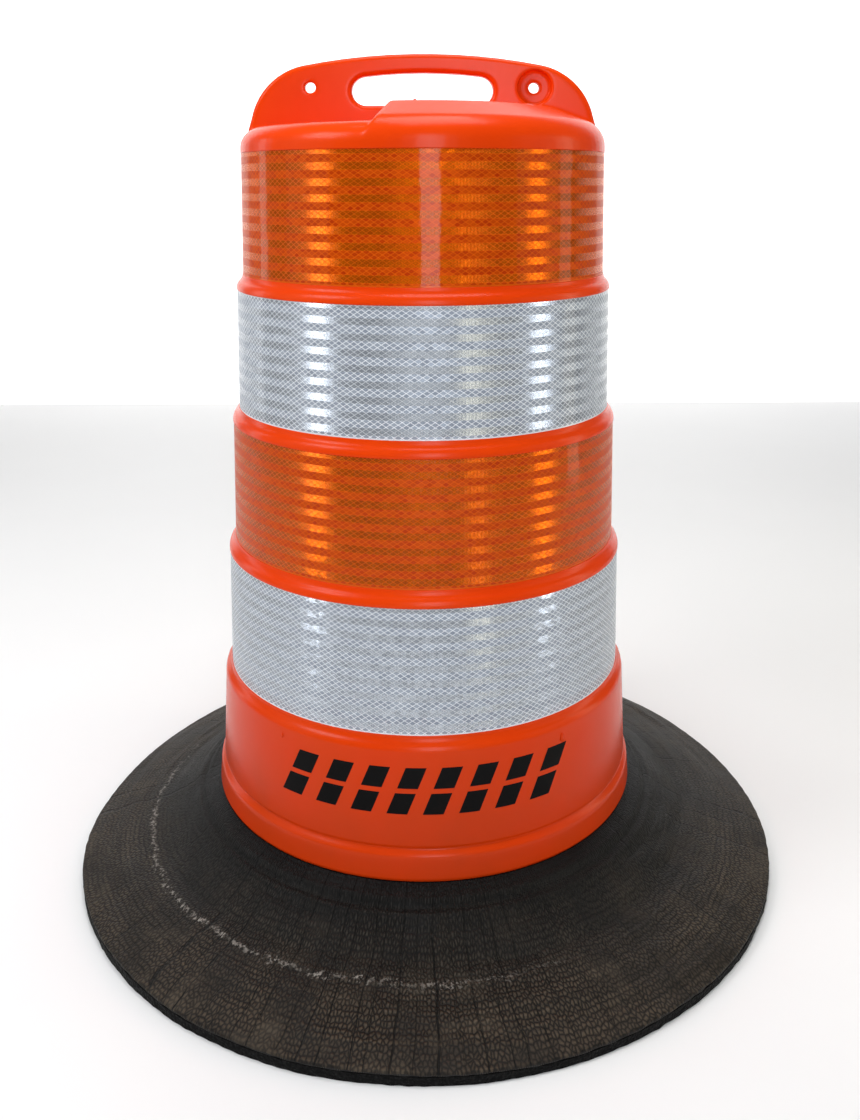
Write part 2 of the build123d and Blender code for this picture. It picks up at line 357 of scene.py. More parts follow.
@dataclass(frozen=True)
class MouldedPolyethylene:
    """Blow-moulded high-density polyethylene in traffic orange.

    The blown skin has a faint orange-peel and a satin gloss, with soft highlights on every
    rounded edge. It is duller and darker towards the foot, partly road dust and partly painted
    shade, and stacking leaves faint upright rubs that only show in the gloss.
    """

    colour: str = "ec4606"
    deep: str = "e03802"
    # colour of the darkening towards the foot: road dust and painted shade
    dust: str = "7e2c10"
    cloud_mm: float = 90.0
    peel_mm: float = 1.6
    rub_mm: float = 3.0
    rub_stretch: float = 0.06
    shade_and_dust_from_m: float = 0.34
    shade_and_dust_full_m: float = 0.13
    shade_and_dust_most: float = 0.55
    relief_mm: float = 0.3
    ior: float = 1.54
    specular: float = 0.12
    roughness: float = 0.24

    def build(self) -> bpy.types.Material:
        """Returns the orange plastic's material."""
        material, put, shader = start_material(
            "moulded_hdpe_orange", IOR=self.ior, Specular_IOR_Level=self.specular
        )
        place = put("TexCoord").outputs["Object"]
        cloud = put("TexNoise", None, {"Vector": place, "Scale": 1 / (self.cloud_mm * MM), "Detail": 3.0})
        stretched = put("Mapping", None, {"Vector": place, "Scale": (1.0, 1.0, self.rub_stretch)})
        rub = put(
            "TexNoise",
            None,
            {"Vector": stretched.outputs[0], "Scale": 1 / (self.rub_mm * MM), "Detail": 4.0},
        )
        peel = put("TexNoise", None, {"Vector": place, "Scale": 1 / (self.peel_mm * MM), "Detail": 1.0})
        shade = put(
            "Mix",
            {"data_type": "RGBA"},
            {"Factor": cloud.outputs[0], "A": linear(self.deep), "B": linear(self.colour)},
        )
        # darker towards the foot in patches: painted shade of the lower wall, with some road dust
        height = put("SeparateXYZ", None, {0: place}).outputs["Z"]
        low = put(
            "MapRange",
            None,
            {"Value": height, 1: self.shade_and_dust_from_m, 2: self.shade_and_dust_full_m, 3: 0.0, 4: self.shade_and_dust_most},
        )
        film = put("Math", {"operation": "MULTIPLY"}, {0: low.outputs[0], 1: cloud.outputs[0]})
        dusted_and_shaded = put(
            "Mix",
            {"data_type": "RGBA"},
            {"Factor": film.outputs[0], "A": shade.outputs["Result"], "B": linear(self.dust)},
        )
        gloss = put(
            "MapRange",
            None,
            {"Value": rub.outputs[0], 1: 0.3, 2: 0.75, 3: self.roughness - 0.01, 4: self.roughness + 0.03},
        )
        relief = put("Math", {"operation": "MULTIPLY_ADD"}, {0: rub.outputs[0], 1: 0.06, 2: peel.outputs[0]})
        bump = put(
            "Bump", None, {"Height": relief.outputs[0], "Strength": 0.08, "Distance": self.relief_mm * MM}
        )
        tree = material.node_tree
        tree.links.new(dusted_and_shaded.outputs["Result"], shader.inputs["Base Color"])
        tree.links.new(gloss.outputs[0], shader.inputs["Roughness"])
        tree.links.new(bump.outputs[0], shader.inputs["Normal"])
        return material


@dataclass(frozen=True)
class PrismaticSheeting:
    """Microprismatic retroreflective film: cube corners under a clear polycarbonate face.

    Pale seal lines split the film into small rhombs. Every second row has its prisms canted to
    both sides, so it flashes where they meet the light, and the clear face mirrors the studio.
    Real cube corners are too fine to show, so the canted ones are drawn as coarser stripes.
    Angles are given as slopes.
    """

    name: str
    cell: str
    seal: str
    glow: str
    cell_width_mm: float = 9.2
    cell_height_mm: float = 6.0
    row_mm: float = 8.9
    seal_mm: float = 0.7
    film_height_mm: float = 152.4
    edge_mm: float = 1.4
    edge_fade_mm: float = 0.6
    stripe_mm: float = 0.8
    wave_mm: float = 34.0
    wave_depth_mm: float = 0.5
    lean: float = 0.08
    cant: float = 0.73
    lift: float = 0.23
    lift_spread: float = 0.05
    metal: tuple[float, float] = (0.25, 0.55)
    mirror: tuple[float, float] = (0.42, 0.2)
    seal_roughness: float = 0.25
    cell_spread: float = 0.2
    centre_glow: float = 0.12
    row_glow: float = 0.46
    row_seal_fade: float = 0.3
    edge_highlight_amount: float = 0.8

    def facet(
        self, put: partial, chance: bpy.types.Node, canted: bpy.types.NodeSocket, film: bpy.types.Node
    ) -> bpy.types.NodeSocket:
        """Leans the surface normal as the prisms lean.

        Args:
            put: Adds nodes to the material.
            chance: White noise by cell.
            canted: 1 in the rows of canted prisms, 0 in the others.
            film: The film's own millimetres.

        Returns:
            The leaned normal.
        """
        # canted rows lean to both sides in stripes; in the others each cell leans up or down
        random = put("SeparateXYZ", None, {0: chance.outputs["Color"]})
        side = put("Math", {"operation": "GREATER_THAN"}, {0: random.outputs["X"], 1: 0.5}).outputs[0]
        up_sign = put(
            "Math", {"operation": "MULTIPLY_ADD"}, {0: side, 1: 2 * self.lean, 2: -self.lean}
        ).outputs[0]
        upright = put("Math", {"operation": "SUBTRACT"}, {0: 1.0, 1: canted}).outputs[0]
        up_lean = put("Math", {"operation": "MULTIPLY"}, {0: up_sign, 1: upright}).outputs[0]
        row_lift = put(
            "MapRange",
            None,
            {
                "Value": random.outputs["Y"],
                3: self.lift - self.lift_spread,
                4: self.lift + self.lift_spread,
            },
        ).outputs[0]
        up_lean = put(
            "Math", {"operation": "MULTIPLY_ADD"}, {0: canted, 1: row_lift, 2: up_lean}
        ).outputs[0]
        stripe = put("Math", {"operation": "PINGPONG"}, {0: film.outputs["X"], 1: self.stripe_mm}).outputs[0]
        facing = put("Math", {"operation": "GREATER_THAN"}, {0: stripe, 1: self.stripe_mm / 2}).outputs[0]
        cant = put(
            "Math", {"operation": "MULTIPLY_ADD"}, {0: facing, 1: 2 * self.cant, 2: -self.cant}
        ).outputs[0]
        along_lean = put("Math", {"operation": "MULTIPLY"}, {0: cant, 1: canted}).outputs[0]
        normal = put("NewGeometry").outputs["Normal"]
        tangent = put(
            "VectorMath", {"operation": "CROSS_PRODUCT"}, {0: (0.0, 0.0, 1.0), 1: normal}
        ).outputs[0]
        sideways = put("VectorMath", {"operation": "SCALE"}, {0: tangent, "Scale": along_lean}).outputs[0]
        upward = put("CombineXYZ", None, {"Z": up_lean}).outputs[0]
        leaned = put("VectorMath", {"operation": "ADD"}, {0: normal, 1: sideways}).outputs[0]
        leaned = put("VectorMath", {"operation": "ADD"}, {0: leaned, 1: upward}).outputs[0]
        return put("VectorMath", {"operation": "NORMALIZE"}, {0: leaned}).outputs[0]

    def painted_edge_highlight(self, put: partial, film: bpy.types.Node) -> bpy.types.NodeSocket:
        """Paints a pale highlight along the film's cut edges.

        Args:
            put: Adds nodes to the material.
            film: The film's own millimetres.

        Returns:
            How pale the film is made.
        """
        half = self.film_height_mm / 2
        middle = put("Math", {"operation": "SUBTRACT"}, {0: film.outputs["Y"], 1: half})
        reach = put("Math", {"operation": "ABSOLUTE"}, {0: middle.outputs[0]}).outputs[0]
        rim_at = half - self.edge_mm
        return put(
            "MapRange",
            None,
            {"Value": reach, 1: rim_at - self.edge_fade_mm, 2: rim_at, 3: 0.0, 4: self.edge_highlight_amount},
        ).outputs[0]

    def build(self) -> bpy.types.Material:
        """Returns the film's material; its pattern lies in the film's own millimetres."""
        material, put, shader = start_material(
            self.name, Coat_Weight=0.2, Coat_Roughness=0.06, Specular_IOR_Level=0.03, IOR=1.58
        )
        film = put("SeparateXYZ", None, {0: put("UVMap", {"uv_map": "pattern"}).outputs[0]})
        along = put("Math", {"operation": "DIVIDE"}, {0: film.outputs["X"], 1: self.cell_width_mm}).outputs[0]
        up = put("Math", {"operation": "DIVIDE"}, {0: film.outputs["Y"], 1: self.cell_height_mm}).outputs[0]
        rise = put("Math", {"operation": "ADD"}, {0: along, 1: up}).outputs[0]
        fall = put("Math", {"operation": "SUBTRACT"}, {0: along, 1: up}).outputs[0]
        distances, numbers = [], []
        for diagonal in (rise, fall):
            part = put("Math", {"operation": "FRACT"}, {0: diagonal})
            centred = put("Math", {"operation": "SUBTRACT"}, {0: part.outputs[0], 1: 0.5})
            distances.append(put("Math", {"operation": "ABSOLUTE"}, {0: centred.outputs[0]}).outputs[0])
            numbers.append(put("Math", {"operation": "FLOOR"}, {0: diagonal}).outputs[0])
        nearest = put("Math", {"operation": "MAXIMUM"}, {0: distances[0], 1: distances[1]}).outputs[0]
        across = 1 / math.hypot(1 / self.cell_width_mm, 1 / self.cell_height_mm)
        half_seal = self.seal_mm / across / 2
        seal = put(
            "MapRange",
            {"interpolation_type": "SMOOTHSTEP"},
            {"Value": nearest, 1: 0.5 - 1.5 * half_seal, 2: 0.5 - 0.6 * half_seal, 3: 0.0, 4: 1.0},
        ).outputs[0]
        centre = put(
            "MapRange",
            {"interpolation_type": "SMOOTHSTEP"},
            {"Value": nearest, 1: 0.05, 2: 0.14, 3: 1.0, 4: 0.0},
        ).outputs[0]
        cell_number = put("CombineXYZ", None, {"X": numbers[0], "Y": numbers[1]})
        chance = put("TexWhiteNoise", {"noise_dimensions": "2D"}, {"Vector": cell_number.outputs[0]})
        row = put("Math", {"operation": "PINGPONG"}, {0: film.outputs["Y"], 1: self.row_mm}).outputs[0]
        canted = put(
            "MapRange",
            None,
            {"Value": row, 1: 0.46 * self.row_mm, 2: 0.54 * self.row_mm, 3: 0.0, 4: 1.0},
        ).outputs[0]

        # colour: cells, their centres and the canted rows painted paler as a painted glow, the seal lines and a
        # painted highlight along the cut edges
        spread = put(
            "MapRange", None, {"Value": chance.outputs["Value"], 3: 0.0, 4: self.cell_spread}
        ).outputs[0]
        # cell centres and canted rows painted paler towards the glow colour: a painted glow of the prisms, on top
        # of the flash that the shader gives the canted rows
        lit = put(
            "Math", {"operation": "MULTIPLY_ADD"}, {0: centre, 1: self.centre_glow, 2: spread}
        ).outputs[0]
        rowed = put("Math", {"operation": "MULTIPLY_ADD"}, {0: canted, 1: self.row_glow, 2: lit}).outputs[0]
        cells = put(
            "Mix", {"data_type": "RGBA"}, {"Factor": rowed, "A": linear(self.cell), "B": linear(self.glow)}
        ).outputs["Result"]
        fade = put(
            "Math", {"operation": "MULTIPLY_ADD"}, {0: canted, 1: -self.row_seal_fade, 2: 1.0}
        ).outputs[0]
        seal_mix = put("Math", {"operation": "MULTIPLY"}, {0: seal, 1: fade}).outputs[0]
        # the seal lines and the painted highlight along the cut edges
        seals_and_edge_highlight = put("Math", {"operation": "MAXIMUM"}, {0: seal_mix, 1: self.painted_edge_highlight(put, film)}).outputs[0]
        colour = put(
            "Mix", {"data_type": "RGBA"}, {"Factor": seals_and_edge_highlight, "A": cells, "B": linear(self.seal)}
        ).outputs["Result"]

        # canted rows mirror the room in their own colour; the others and the seals are duller
        metal = put("MapRange", None, {"Value": canted, 3: self.metal[0], 4: self.metal[1]}).outputs[0]
        mirror = put("MapRange", None, {"Value": canted, 3: self.mirror[0], 4: self.mirror[1]}).outputs[0]
        roughness = put(
            "Math", {"operation": "MULTIPLY_ADD"}, {0: seal, 1: self.seal_roughness, 2: mirror}
        ).outputs[0]
        tree = material.node_tree
        tree.links.new(colour, shader.inputs["Base Color"])
        tree.links.new(roughness, shader.inputs["Roughness"])
        tree.links.new(metal, shader.inputs["Metallic"])
        tree.links.new(self.facet(put, chance, canted, film), shader.inputs["Normal"])

        # the clear face lies a little wavy on the drum, so its reflections wander
        place = put("TexCoord").outputs["Object"]
        wave = put("TexNoise", None, {"Vector": place, "Scale": 1 / (self.wave_mm * MM), "Detail": 2.0})
        wavy = put(
            "Bump",
            None,
            {"Height": wave.outputs[0], "Strength": 0.7, "Distance": self.wave_depth_mm * MM},
        )
        tree.links.new(wavy.outputs[0], shader.inputs["Coat Normal"])
        return material


@dataclass(frozen=True)
class StencilPaint:
    """Black enamel sprayed through a stencil: a thin matt coat with a fine pebble of spray."""

    colour: str = "030202"
    worn: str = "120b08"
    spray_mm: float = 0.9
    patch_mm: float = 14.0
    relief_mm: float = 0.15

    def build(self) -> bpy.types.Material:
        """Returns the paint's material."""
        material, put, shader = start_material("sprayed_enamel_black", IOR=1.5, Specular_IOR_Level=0.15)
        place = put("TexCoord").outputs["Object"]
        spray = put("TexNoise", None, {"Vector": place, "Scale": 1 / (self.spray_mm * MM), "Detail": 2.0})
        patch = put("TexNoise", None, {"Vector": place, "Scale": 1 / (self.patch_mm * MM), "Detail": 4.0})
        wear = put("MapRange", None, {"Value": patch.outputs[0], 1: 0.55, 2: 0.8})
        colour = put(
            "Mix",
            {"data_type": "RGBA"},
            {"Factor": wear.outputs[0], "A": linear(self.colour), "B": linear(self.worn)},
        )
        gloss = put("MapRange", None, {"Value": patch.outputs[0], 3: 0.5, 4: 0.75})
        bump = put(
            "Bump", None, {"Height": spray.outputs[0], "Strength": 0.25, "Distance": self.relief_mm * MM}
        )
        tree = material.node_tree
        tree.links.new(colour.outputs["Result"], shader.inputs["Base Color"])
        tree.links.new(gloss.outputs[0], shader.inputs["Roughness"])
        tree.links.new(bump.outputs[0], shader.inputs["Normal"])
        return material


@dataclass(frozen=True)
class LinerRubber:
    """The butyl inner liner of a tyre, as the curing bladder left it.

    The bladder's leather-like pebble and its radial vent lines are pressed into the black
    rubber; the pebble carries painted highlights on its tops and painted shade in its creases,
    and the vent lines carry painted shade. The colour darkens towards the bead as painted shade
    of the drum. Dust browns the outer brim, and rubbing has greyed a broken ring on its crest.
    Radii, like the other sizes, are in millimetres.
    """

    inner: str = "040404"
    middle: str = "1b1814"
    outer: str = "322a21"
    scuff: str = "9a948c"
    dust: str = "5a5145"
    groove: str = "020202"
    inner_radius: float = 285.0
    outer_radius: float = 460.0
    pebble_radius: float = 380.0
    scuff_radius: float = 379.0
    brim: tuple[float, float] = (400.0, 455.0)
    vent_lines: int = 118
    vent_mm: tuple[float, float] = (0.35, 1.0)
    vent_wander: float = 2.4
    pebble_mm: float = 3.8
    pebble_length_mm: float = 6.2
    ring_mm: float = 5.0
    bow_mm: float = 70.0
    break_mm: float = 22.0
    zone_mm: float = 75.0
    cloud_mm: float = 55.0
    crumble_mm: float = 5.0
    sway_mm: float = 9.0
    relief_mm: float = 1.1

    def vents(
        self,
        put: partial,
        turn: bpy.types.NodeSocket,
        radius: bpy.types.NodeSocket,
        bow: bpy.types.NodeSocket,
    ) -> bpy.types.NodeSocket:
        """Draws the radial vent lines: unevenly spaced hairs of constant width, some fainter.

        Args:
            put: Adds nodes to the material.
            turn: Turns around the ring.
            radius: Distance from the axis in millimetres.
            bow: Slow noise that bows the lines.

        Returns:
            1 on a line and 0 off it.
        """
        wander_u = put("Math", {"operation": "MULTIPLY"}, {0: turn, 1: 55.0}).outputs[0]
        wander_at = put("CombineXYZ", None, {"X": wander_u}).outputs[0]
        wander = put("TexNoise", None, {"Vector": wander_at, "Scale": 1.0, "Detail": 1.0}).outputs[0]
        counted = put("Math", {"operation": "MULTIPLY"}, {0: turn, 1: float(self.vent_lines)}).outputs[0]
        spread = put(
            "Math", {"operation": "MULTIPLY_ADD"}, {0: wander, 1: self.vent_wander, 2: counted}
        ).outputs[0]
        bowed = put("Math", {"operation": "MULTIPLY_ADD"}, {0: bow, 1: 0.5, 2: spread}).outputs[0]
        part = put("Math", {"operation": "FRACT"}, {0: bowed}).outputs[0]
        centred = put("Math", {"operation": "SUBTRACT"}, {0: part, 1: 0.5}).outputs[0]
        apart = put("Math", {"operation": "ABSOLUTE"}, {0: centred}).outputs[0]
        pitch = put(
            "Math", {"operation": "MULTIPLY"}, {0: radius, 1: 2 * math.pi / self.vent_lines}
        ).outputs[0]
        distance = put("Math", {"operation": "MULTIPLY"}, {0: apart, 1: pitch}).outputs[0]
        number = put("Math", {"operation": "FLOOR"}, {0: bowed}).outputs[0]
        chance = put("TexWhiteNoise", {"noise_dimensions": "1D"}, {"W": number}).outputs[0]
        core, edge = self.vent_mm
        shape = put("MapRange", None, {"Value": distance, 1: core, 2: edge, 3: 1.0, 4: 0.0}).outputs[0]
        weight = put("MapRange", None, {"Value": chance, 1: 0.0, 2: 0.7, 3: 0.35, 4: 1.0}).outputs[0]
        return put("Math", {"operation": "MULTIPLY"}, {0: shape, 1: weight}).outputs[0]

    def pebbles(
        self,
        put: partial,
        turn: bpy.types.NodeSocket,
        radius: bpy.types.NodeSocket,
        place: bpy.types.NodeSocket,
    ) -> bpy.types.NodeSocket:
        """Draws the pebble: cells longer along the radius than across it, fainter on the brim.

        Args:
            put: Adds nodes to the material.
            turn: Turns around the ring.
            radius: Distance from the axis in millimetres.
            place: Object coordinates.

        Returns:
            0 in the creases, up to 1 on the pebbles.
        """
        around = 2 * math.pi * self.pebble_radius / self.pebble_mm
        pebble_u = put("Math", {"operation": "MULTIPLY"}, {0: turn, 1: around}).outputs[0]
        pebble_v = put("Math", {"operation": "DIVIDE"}, {0: radius, 1: self.pebble_length_mm}).outputs[0]
        pebble_at = put("CombineXYZ", None, {"X": pebble_u, "Y": pebble_v}).outputs[0]
        pebble = put(
            "TexVoronoi",
            {"voronoi_dimensions": "2D", "feature": "DISTANCE_TO_EDGE"},
            {"Vector": pebble_at, "Scale": 1.0, "Randomness": 0.85},
        ).outputs["Distance"]
        grain = put("MapRange", None, {"Value": pebble, 1: 0.05, 2: 0.34, 3: 0.0, 4: 1.0}).outputs[0]
        zone = put(
            "TexNoise", None, {"Vector": place, "Scale": 1 / (self.zone_mm * MM), "Detail": 2.0}
        ).outputs[0]
        pebbled = put("MapRange", None, {"Value": zone, 1: 0.36, 2: 0.55, 3: 0.45, 4: 1.0}).outputs[0]
        brim = put(
            "MapRange", None, {"Value": radius, 1: self.brim[0], 2: self.brim[1], 3: 1.0, 4: 0.5}
        ).outputs[0]
        pebbled = put("Math", {"operation": "MULTIPLY"}, {0: pebbled, 1: brim}).outputs[0]
        return put("Math", {"operation": "MULTIPLY"}, {0: grain, 1: pebbled}).outputs[0]

    def worn_ring(
        self,
        put: partial,
        place: bpy.types.NodeSocket,
        radius: bpy.types.NodeSocket,
        bow: bpy.types.NodeSocket,
        crumble: bpy.types.NodeSocket,
        broken: bpy.types.NodeSocket,
    ) -> bpy.types.NodeSocket:
        """Draws the crumbled grey ring that rubbing has left on one side of the crest.

        Args:
            put: Adds nodes to the material.
            place: Object coordinates.
            radius: Distance from the axis in millimetres.
            bow: Slow noise that sways the ring.
            crumble: Fine noise that breaks its edge.
            broken: Noise that breaks it along its length.

        Returns:
            How much of the grey shows.
        """
        sway = put("MapRange", None, {"Value": bow, 3: -self.sway_mm, 4: self.sway_mm}).outputs[0]
        off = put("Math", {"operation": "SUBTRACT"}, {0: radius, 1: self.scuff_radius}).outputs[0]
        off = put("Math", {"operation": "ADD"}, {0: off, 1: sway}).outputs[0]
        off = put("Math", {"operation": "ABSOLUTE"}, {0: off}).outputs[0]
        fade = put("Math", {"operation": "MULTIPLY_ADD"}, {0: off, 1: -0.022, 2: crumble}).outputs[0]
        scuff = put("MapRange", None, {"Value": fade, 1: 0.46, 2: 0.56}).outputs[0]
        ground = put("SeparateXYZ", None, {0: place})
        diagonal = put(
            "Math", {"operation": "ADD"}, {0: ground.outputs["X"], 1: ground.outputs["Y"]}
        ).outputs[0]
        side = put("MapRange", None, {"Value": diagonal, 1: -0.15, 2: -0.42, 3: 0.05, 4: 0.9}).outputs[0]
        patches = put("MapRange", None, {"Value": broken, 1: 0.35, 2: 0.6, 3: 0.25, 4: 1.0}).outputs[0]
        scuff = put("Math", {"operation": "MULTIPLY"}, {0: scuff, 1: side}).outputs[0]
        return put("Math", {"operation": "MULTIPLY"}, {0: scuff, 1: patches}).outputs[0]

    def build(self) -> bpy.types.Material:
        """Returns the liner's material; its pattern's u is turns and its v is the radius in mm."""
        material, put, shader = start_material("cured_butyl_liner", IOR=1.52, Specular_IOR_Level=0.18)
        tree = material.node_tree
        place = put("TexCoord").outputs["Object"]
        polar = put("SeparateXYZ", None, {0: put("UVMap", {"uv_map": "pattern"}).outputs[0]})
        turn, radius = polar.outputs["X"], polar.outputs["Y"]
        bow = put(
            "TexNoise", None, {"Vector": place, "Scale": 1 / (self.bow_mm * MM), "Detail": 1.0}
        ).outputs[0]
        broken = put(
            "TexNoise", None, {"Vector": place, "Scale": 1 / (self.break_mm * MM), "Detail": 2.0}
        ).outputs[0]
        present = put("MapRange", None, {"Value": broken, 1: 0.36, 2: 0.5, 3: 0.35, 4: 1.0}).outputs[0]
        line = put(
            "Math", {"operation": "MULTIPLY"}, {0: self.vents(put, turn, radius, bow), 1: present}
        ).outputs[0]
        grain = self.pebbles(put, turn, radius, place)

        # rings left by the bladder: long along the turn, a few millimetres across
        ring_u = put("Math", {"operation": "MULTIPLY"}, {0: turn, 1: 14.0}).outputs[0]
        ring_v = put("Math", {"operation": "DIVIDE"}, {0: radius, 1: self.ring_mm}).outputs[0]
        ring_at = put("CombineXYZ", None, {"X": ring_u, "Y": ring_v}).outputs[0]
        rings = put("TexNoise", None, {"Vector": ring_at, "Scale": 1.0, "Detail": 3.0}).outputs[0]

        # colour by radius, darker towards the bead as painted shade of the drum, with painted highlights and
        # shade on the pebble, dust, the greyed ring and painted shade in the vent lines
        share = put(
            "MapRange", None, {"Value": radius, 1: self.inner_radius, 2: self.outer_radius}
        ).outputs[0]
        # the ramp darkens towards the bead: painted shade of the drum standing over it
        bead_shade_ramp = put("ValToRGB", None, {0: share})
        bead_shade_ramp.color_ramp.elements[0].color = linear(self.inner)
        bead_shade_ramp.color_ramp.elements[1].color = linear(self.outer)
        bead_shade_ramp.color_ramp.elements.new(0.45).color = linear(self.middle)
        # pebble tops painted brighter as painted highlights, creases painted darker as painted shade
        pebble_highlight_and_crease_shade = put("MapRange", None, {"Value": grain, 3: 0.2, 4: 3.2}).outputs[0]
        ring_tint = put("MapRange", None, {"Value": rings, 1: 0.3, 2: 0.7, 3: 0.6, 4: 1.45}).outputs[0]
        tint = put("Math", {"operation": "MULTIPLY"}, {0: pebble_highlight_and_crease_shade, 1: ring_tint}).outputs[0]
        tinted = put("VectorMath", {"operation": "SCALE"}, {0: bead_shade_ramp.outputs[0], "Scale": tint}).outputs[0]
        cloud = put(
            "TexNoise",
            None,
            {"Vector": place, "Scale": 1 / (self.cloud_mm * MM), "Detail": 5.0, "Roughness": 0.65},
        ).outputs[0]
        dusty = put("MapRange", None, {"Value": cloud, 1: 0.5, 2: 0.78, 3: 0.0, 4: 0.55}).outputs[0]
        dusty = put("Math", {"operation": "MULTIPLY"}, {0: dusty, 1: share}).outputs[0]
        coloured = put(
            "Mix", {"data_type": "RGBA"}, {"Factor": dusty, "A": tinted, "B": linear(self.dust)}
        ).outputs["Result"]
        crumble = put(
            "TexNoise",
            None,
            {"Vector": place, "Scale": 1 / (self.crumble_mm * MM), "Detail": 5.0, "Roughness": 0.7},
        ).outputs[0]
        scuff = self.worn_ring(put, place, radius, bow, crumble, broken)
        scuffed = put(
            "Mix", {"data_type": "RGBA"}, {"Factor": scuff, "A": coloured, "B": linear(self.scuff)}
        ).outputs["Result"]
        # the vent lines painted near black: painted shade in the grooves
        depth = put("Math", {"operation": "MULTIPLY"}, {0: line, 1: 0.95}).outputs[0]
        vent_shaded = put(
            "Mix", {"data_type": "RGBA"}, {"Factor": depth, "A": scuffed, "B": linear(self.groove)}
        ).outputs["Result"]

        gloss = put("MapRange", None, {"Value": cloud, 3: 0.4, 4: 0.75}).outputs[0]
        relief = put("Math", {"operation": "MULTIPLY_ADD"}, {0: rings, 1: 0.8, 2: grain}).outputs[0]
        relief = put("Math", {"operation": "MULTIPLY_ADD"}, {0: line, 1: -1.4, 2: relief}).outputs[0]
        relief = put("Math", {"operation": "MULTIPLY_ADD"}, {0: crumble, 1: 0.35, 2: relief}).outputs[0]
        bump = put(
            "Bump", None, {"Height": relief, "Strength": 1.0, "Distance": self.relief_mm * MM}
        )
        tree.links.new(vent_shaded, shader.inputs["Base Color"])
        tree.links.new(gloss, shader.inputs["Roughness"])
        tree.links.new(bump.outputs[0], shader.inputs["Normal"])
        return material


@dataclass(frozen=True)
class CutRubber:
    """Black carbon-filled sidewall rubber: torn fibrous where the knife cut it, dull elsewhere."""

    colour: str = "050505"
    torn: str = "1b1a19"
    strand_mm: float = 2.2
    lump_mm: float = 3.5
    relief_mm: float = 1.0

    def build(self) -> bpy.types.Material:
        """Returns the sidewall rubber's material."""
        material, put, shader = start_material("knife_cut_tyre_rubber", IOR=1.52, Specular_IOR_Level=0.1)
        place = put("TexCoord").outputs["Object"]
        flat = put("Mapping", None, {"Vector": place, "Scale": (1.0, 1.0, 0.45)}).outputs[0]
        strands = put("TexNoise", None, {"Vector": flat, "Scale": 1 / (self.strand_mm * MM), "Detail": 5.0})
        lumps = put("TexVoronoi", None, {"Vector": place, "Scale": 1 / (self.lump_mm * MM)})
        torn = put("MapRange", None, {"Value": strands.outputs[0], 1: 0.5, 2: 0.72}).outputs[0]
        colour = put(
            "Mix", {"data_type": "RGBA"}, {"Factor": torn, "A": linear(self.colour), "B": linear(self.torn)}
        ).outputs["Result"]
        gloss = put("MapRange", None, {"Value": lumps.outputs["Distance"], 3: 0.45, 4: 0.8}).outputs[0]
        relief = put(
            "Math", {"operation": "ADD"}, {0: strands.outputs[0], 1: lumps.outputs["Distance"]}
        ).outputs[0]
        bump = put("Bump", None, {"Height": relief, "Strength": 0.9, "Distance": self.relief_mm * MM})
        tree = material.node_tree
        tree.links.new(colour, shader.inputs["Base Color"])
        tree.links.new(gloss, shader.inputs["Roughness"])
        tree.links.new(bump.outputs[0], shader.inputs["Normal"])
        return material


@dataclass(frozen=True)
class SteelCordPly:
    """Steel cords in skim rubber: the cut edge shows a row of dull cord ends in black rubber."""

    rubber: str = "14110f"
    steel: str = "4a443e"
    cord_spacing_mm: float = 2.4
    edge_radius: float = 460.0
    fray_mm: float = 9.0
    relief_mm: float = 0.5

    def build(self) -> bpy.types.Material:
        """Returns the ply's material; its pattern's u is turns."""
        material, put, shader = start_material("steel_cord_ply", IOR=1.52)
        polar = put("SeparateXYZ", None, {0: put("UVMap", {"uv_map": "pattern"}).outputs[0]})
        count = round(2 * math.pi * self.edge_radius / self.cord_spacing_mm)
        cords = put("Math", {"operation": "MULTIPLY"}, {0: polar.outputs["X"], 1: float(count)}).outputs[0]
        saw = put("Math", {"operation": "PINGPONG"}, {0: cords, 1: 0.5}).outputs[0]
        place = put("TexCoord").outputs["Object"]
        frayed = put("TexNoise", None, {"Vector": place, "Scale": 1 / (self.fray_mm * MM), "Detail": 3.0})
        cord = put("MapRange", None, {"Value": saw, 1: 0.28, 2: 0.42}).outputs[0]
        bared = put("MapRange", None, {"Value": frayed.outputs[0], 1: 0.42, 2: 0.62}).outputs[0]
        shown = put("Math", {"operation": "MULTIPLY"}, {0: cord, 1: bared}).outputs[0]
        colour = put(
            "Mix", {"data_type": "RGBA"}, {"Factor": shown, "A": linear(self.rubber), "B": linear(self.steel)}
        ).outputs["Result"]
        gloss = put("MapRange", None, {"Value": shown, 3: 0.8, 4: 0.4}).outputs[0]
        bump = put("Bump", None, {"Height": shown, "Strength": 0.6, "Distance": self.relief_mm * MM})
        tree = material.node_tree
        tree.links.new(colour, shader.inputs["Base Color"])
        tree.links.new(gloss, shader.inputs["Roughness"])
        tree.links.new(shown, shader.inputs["Metallic"])
        tree.links.new(bump.outputs[0], shader.inputs["Normal"])
        return material


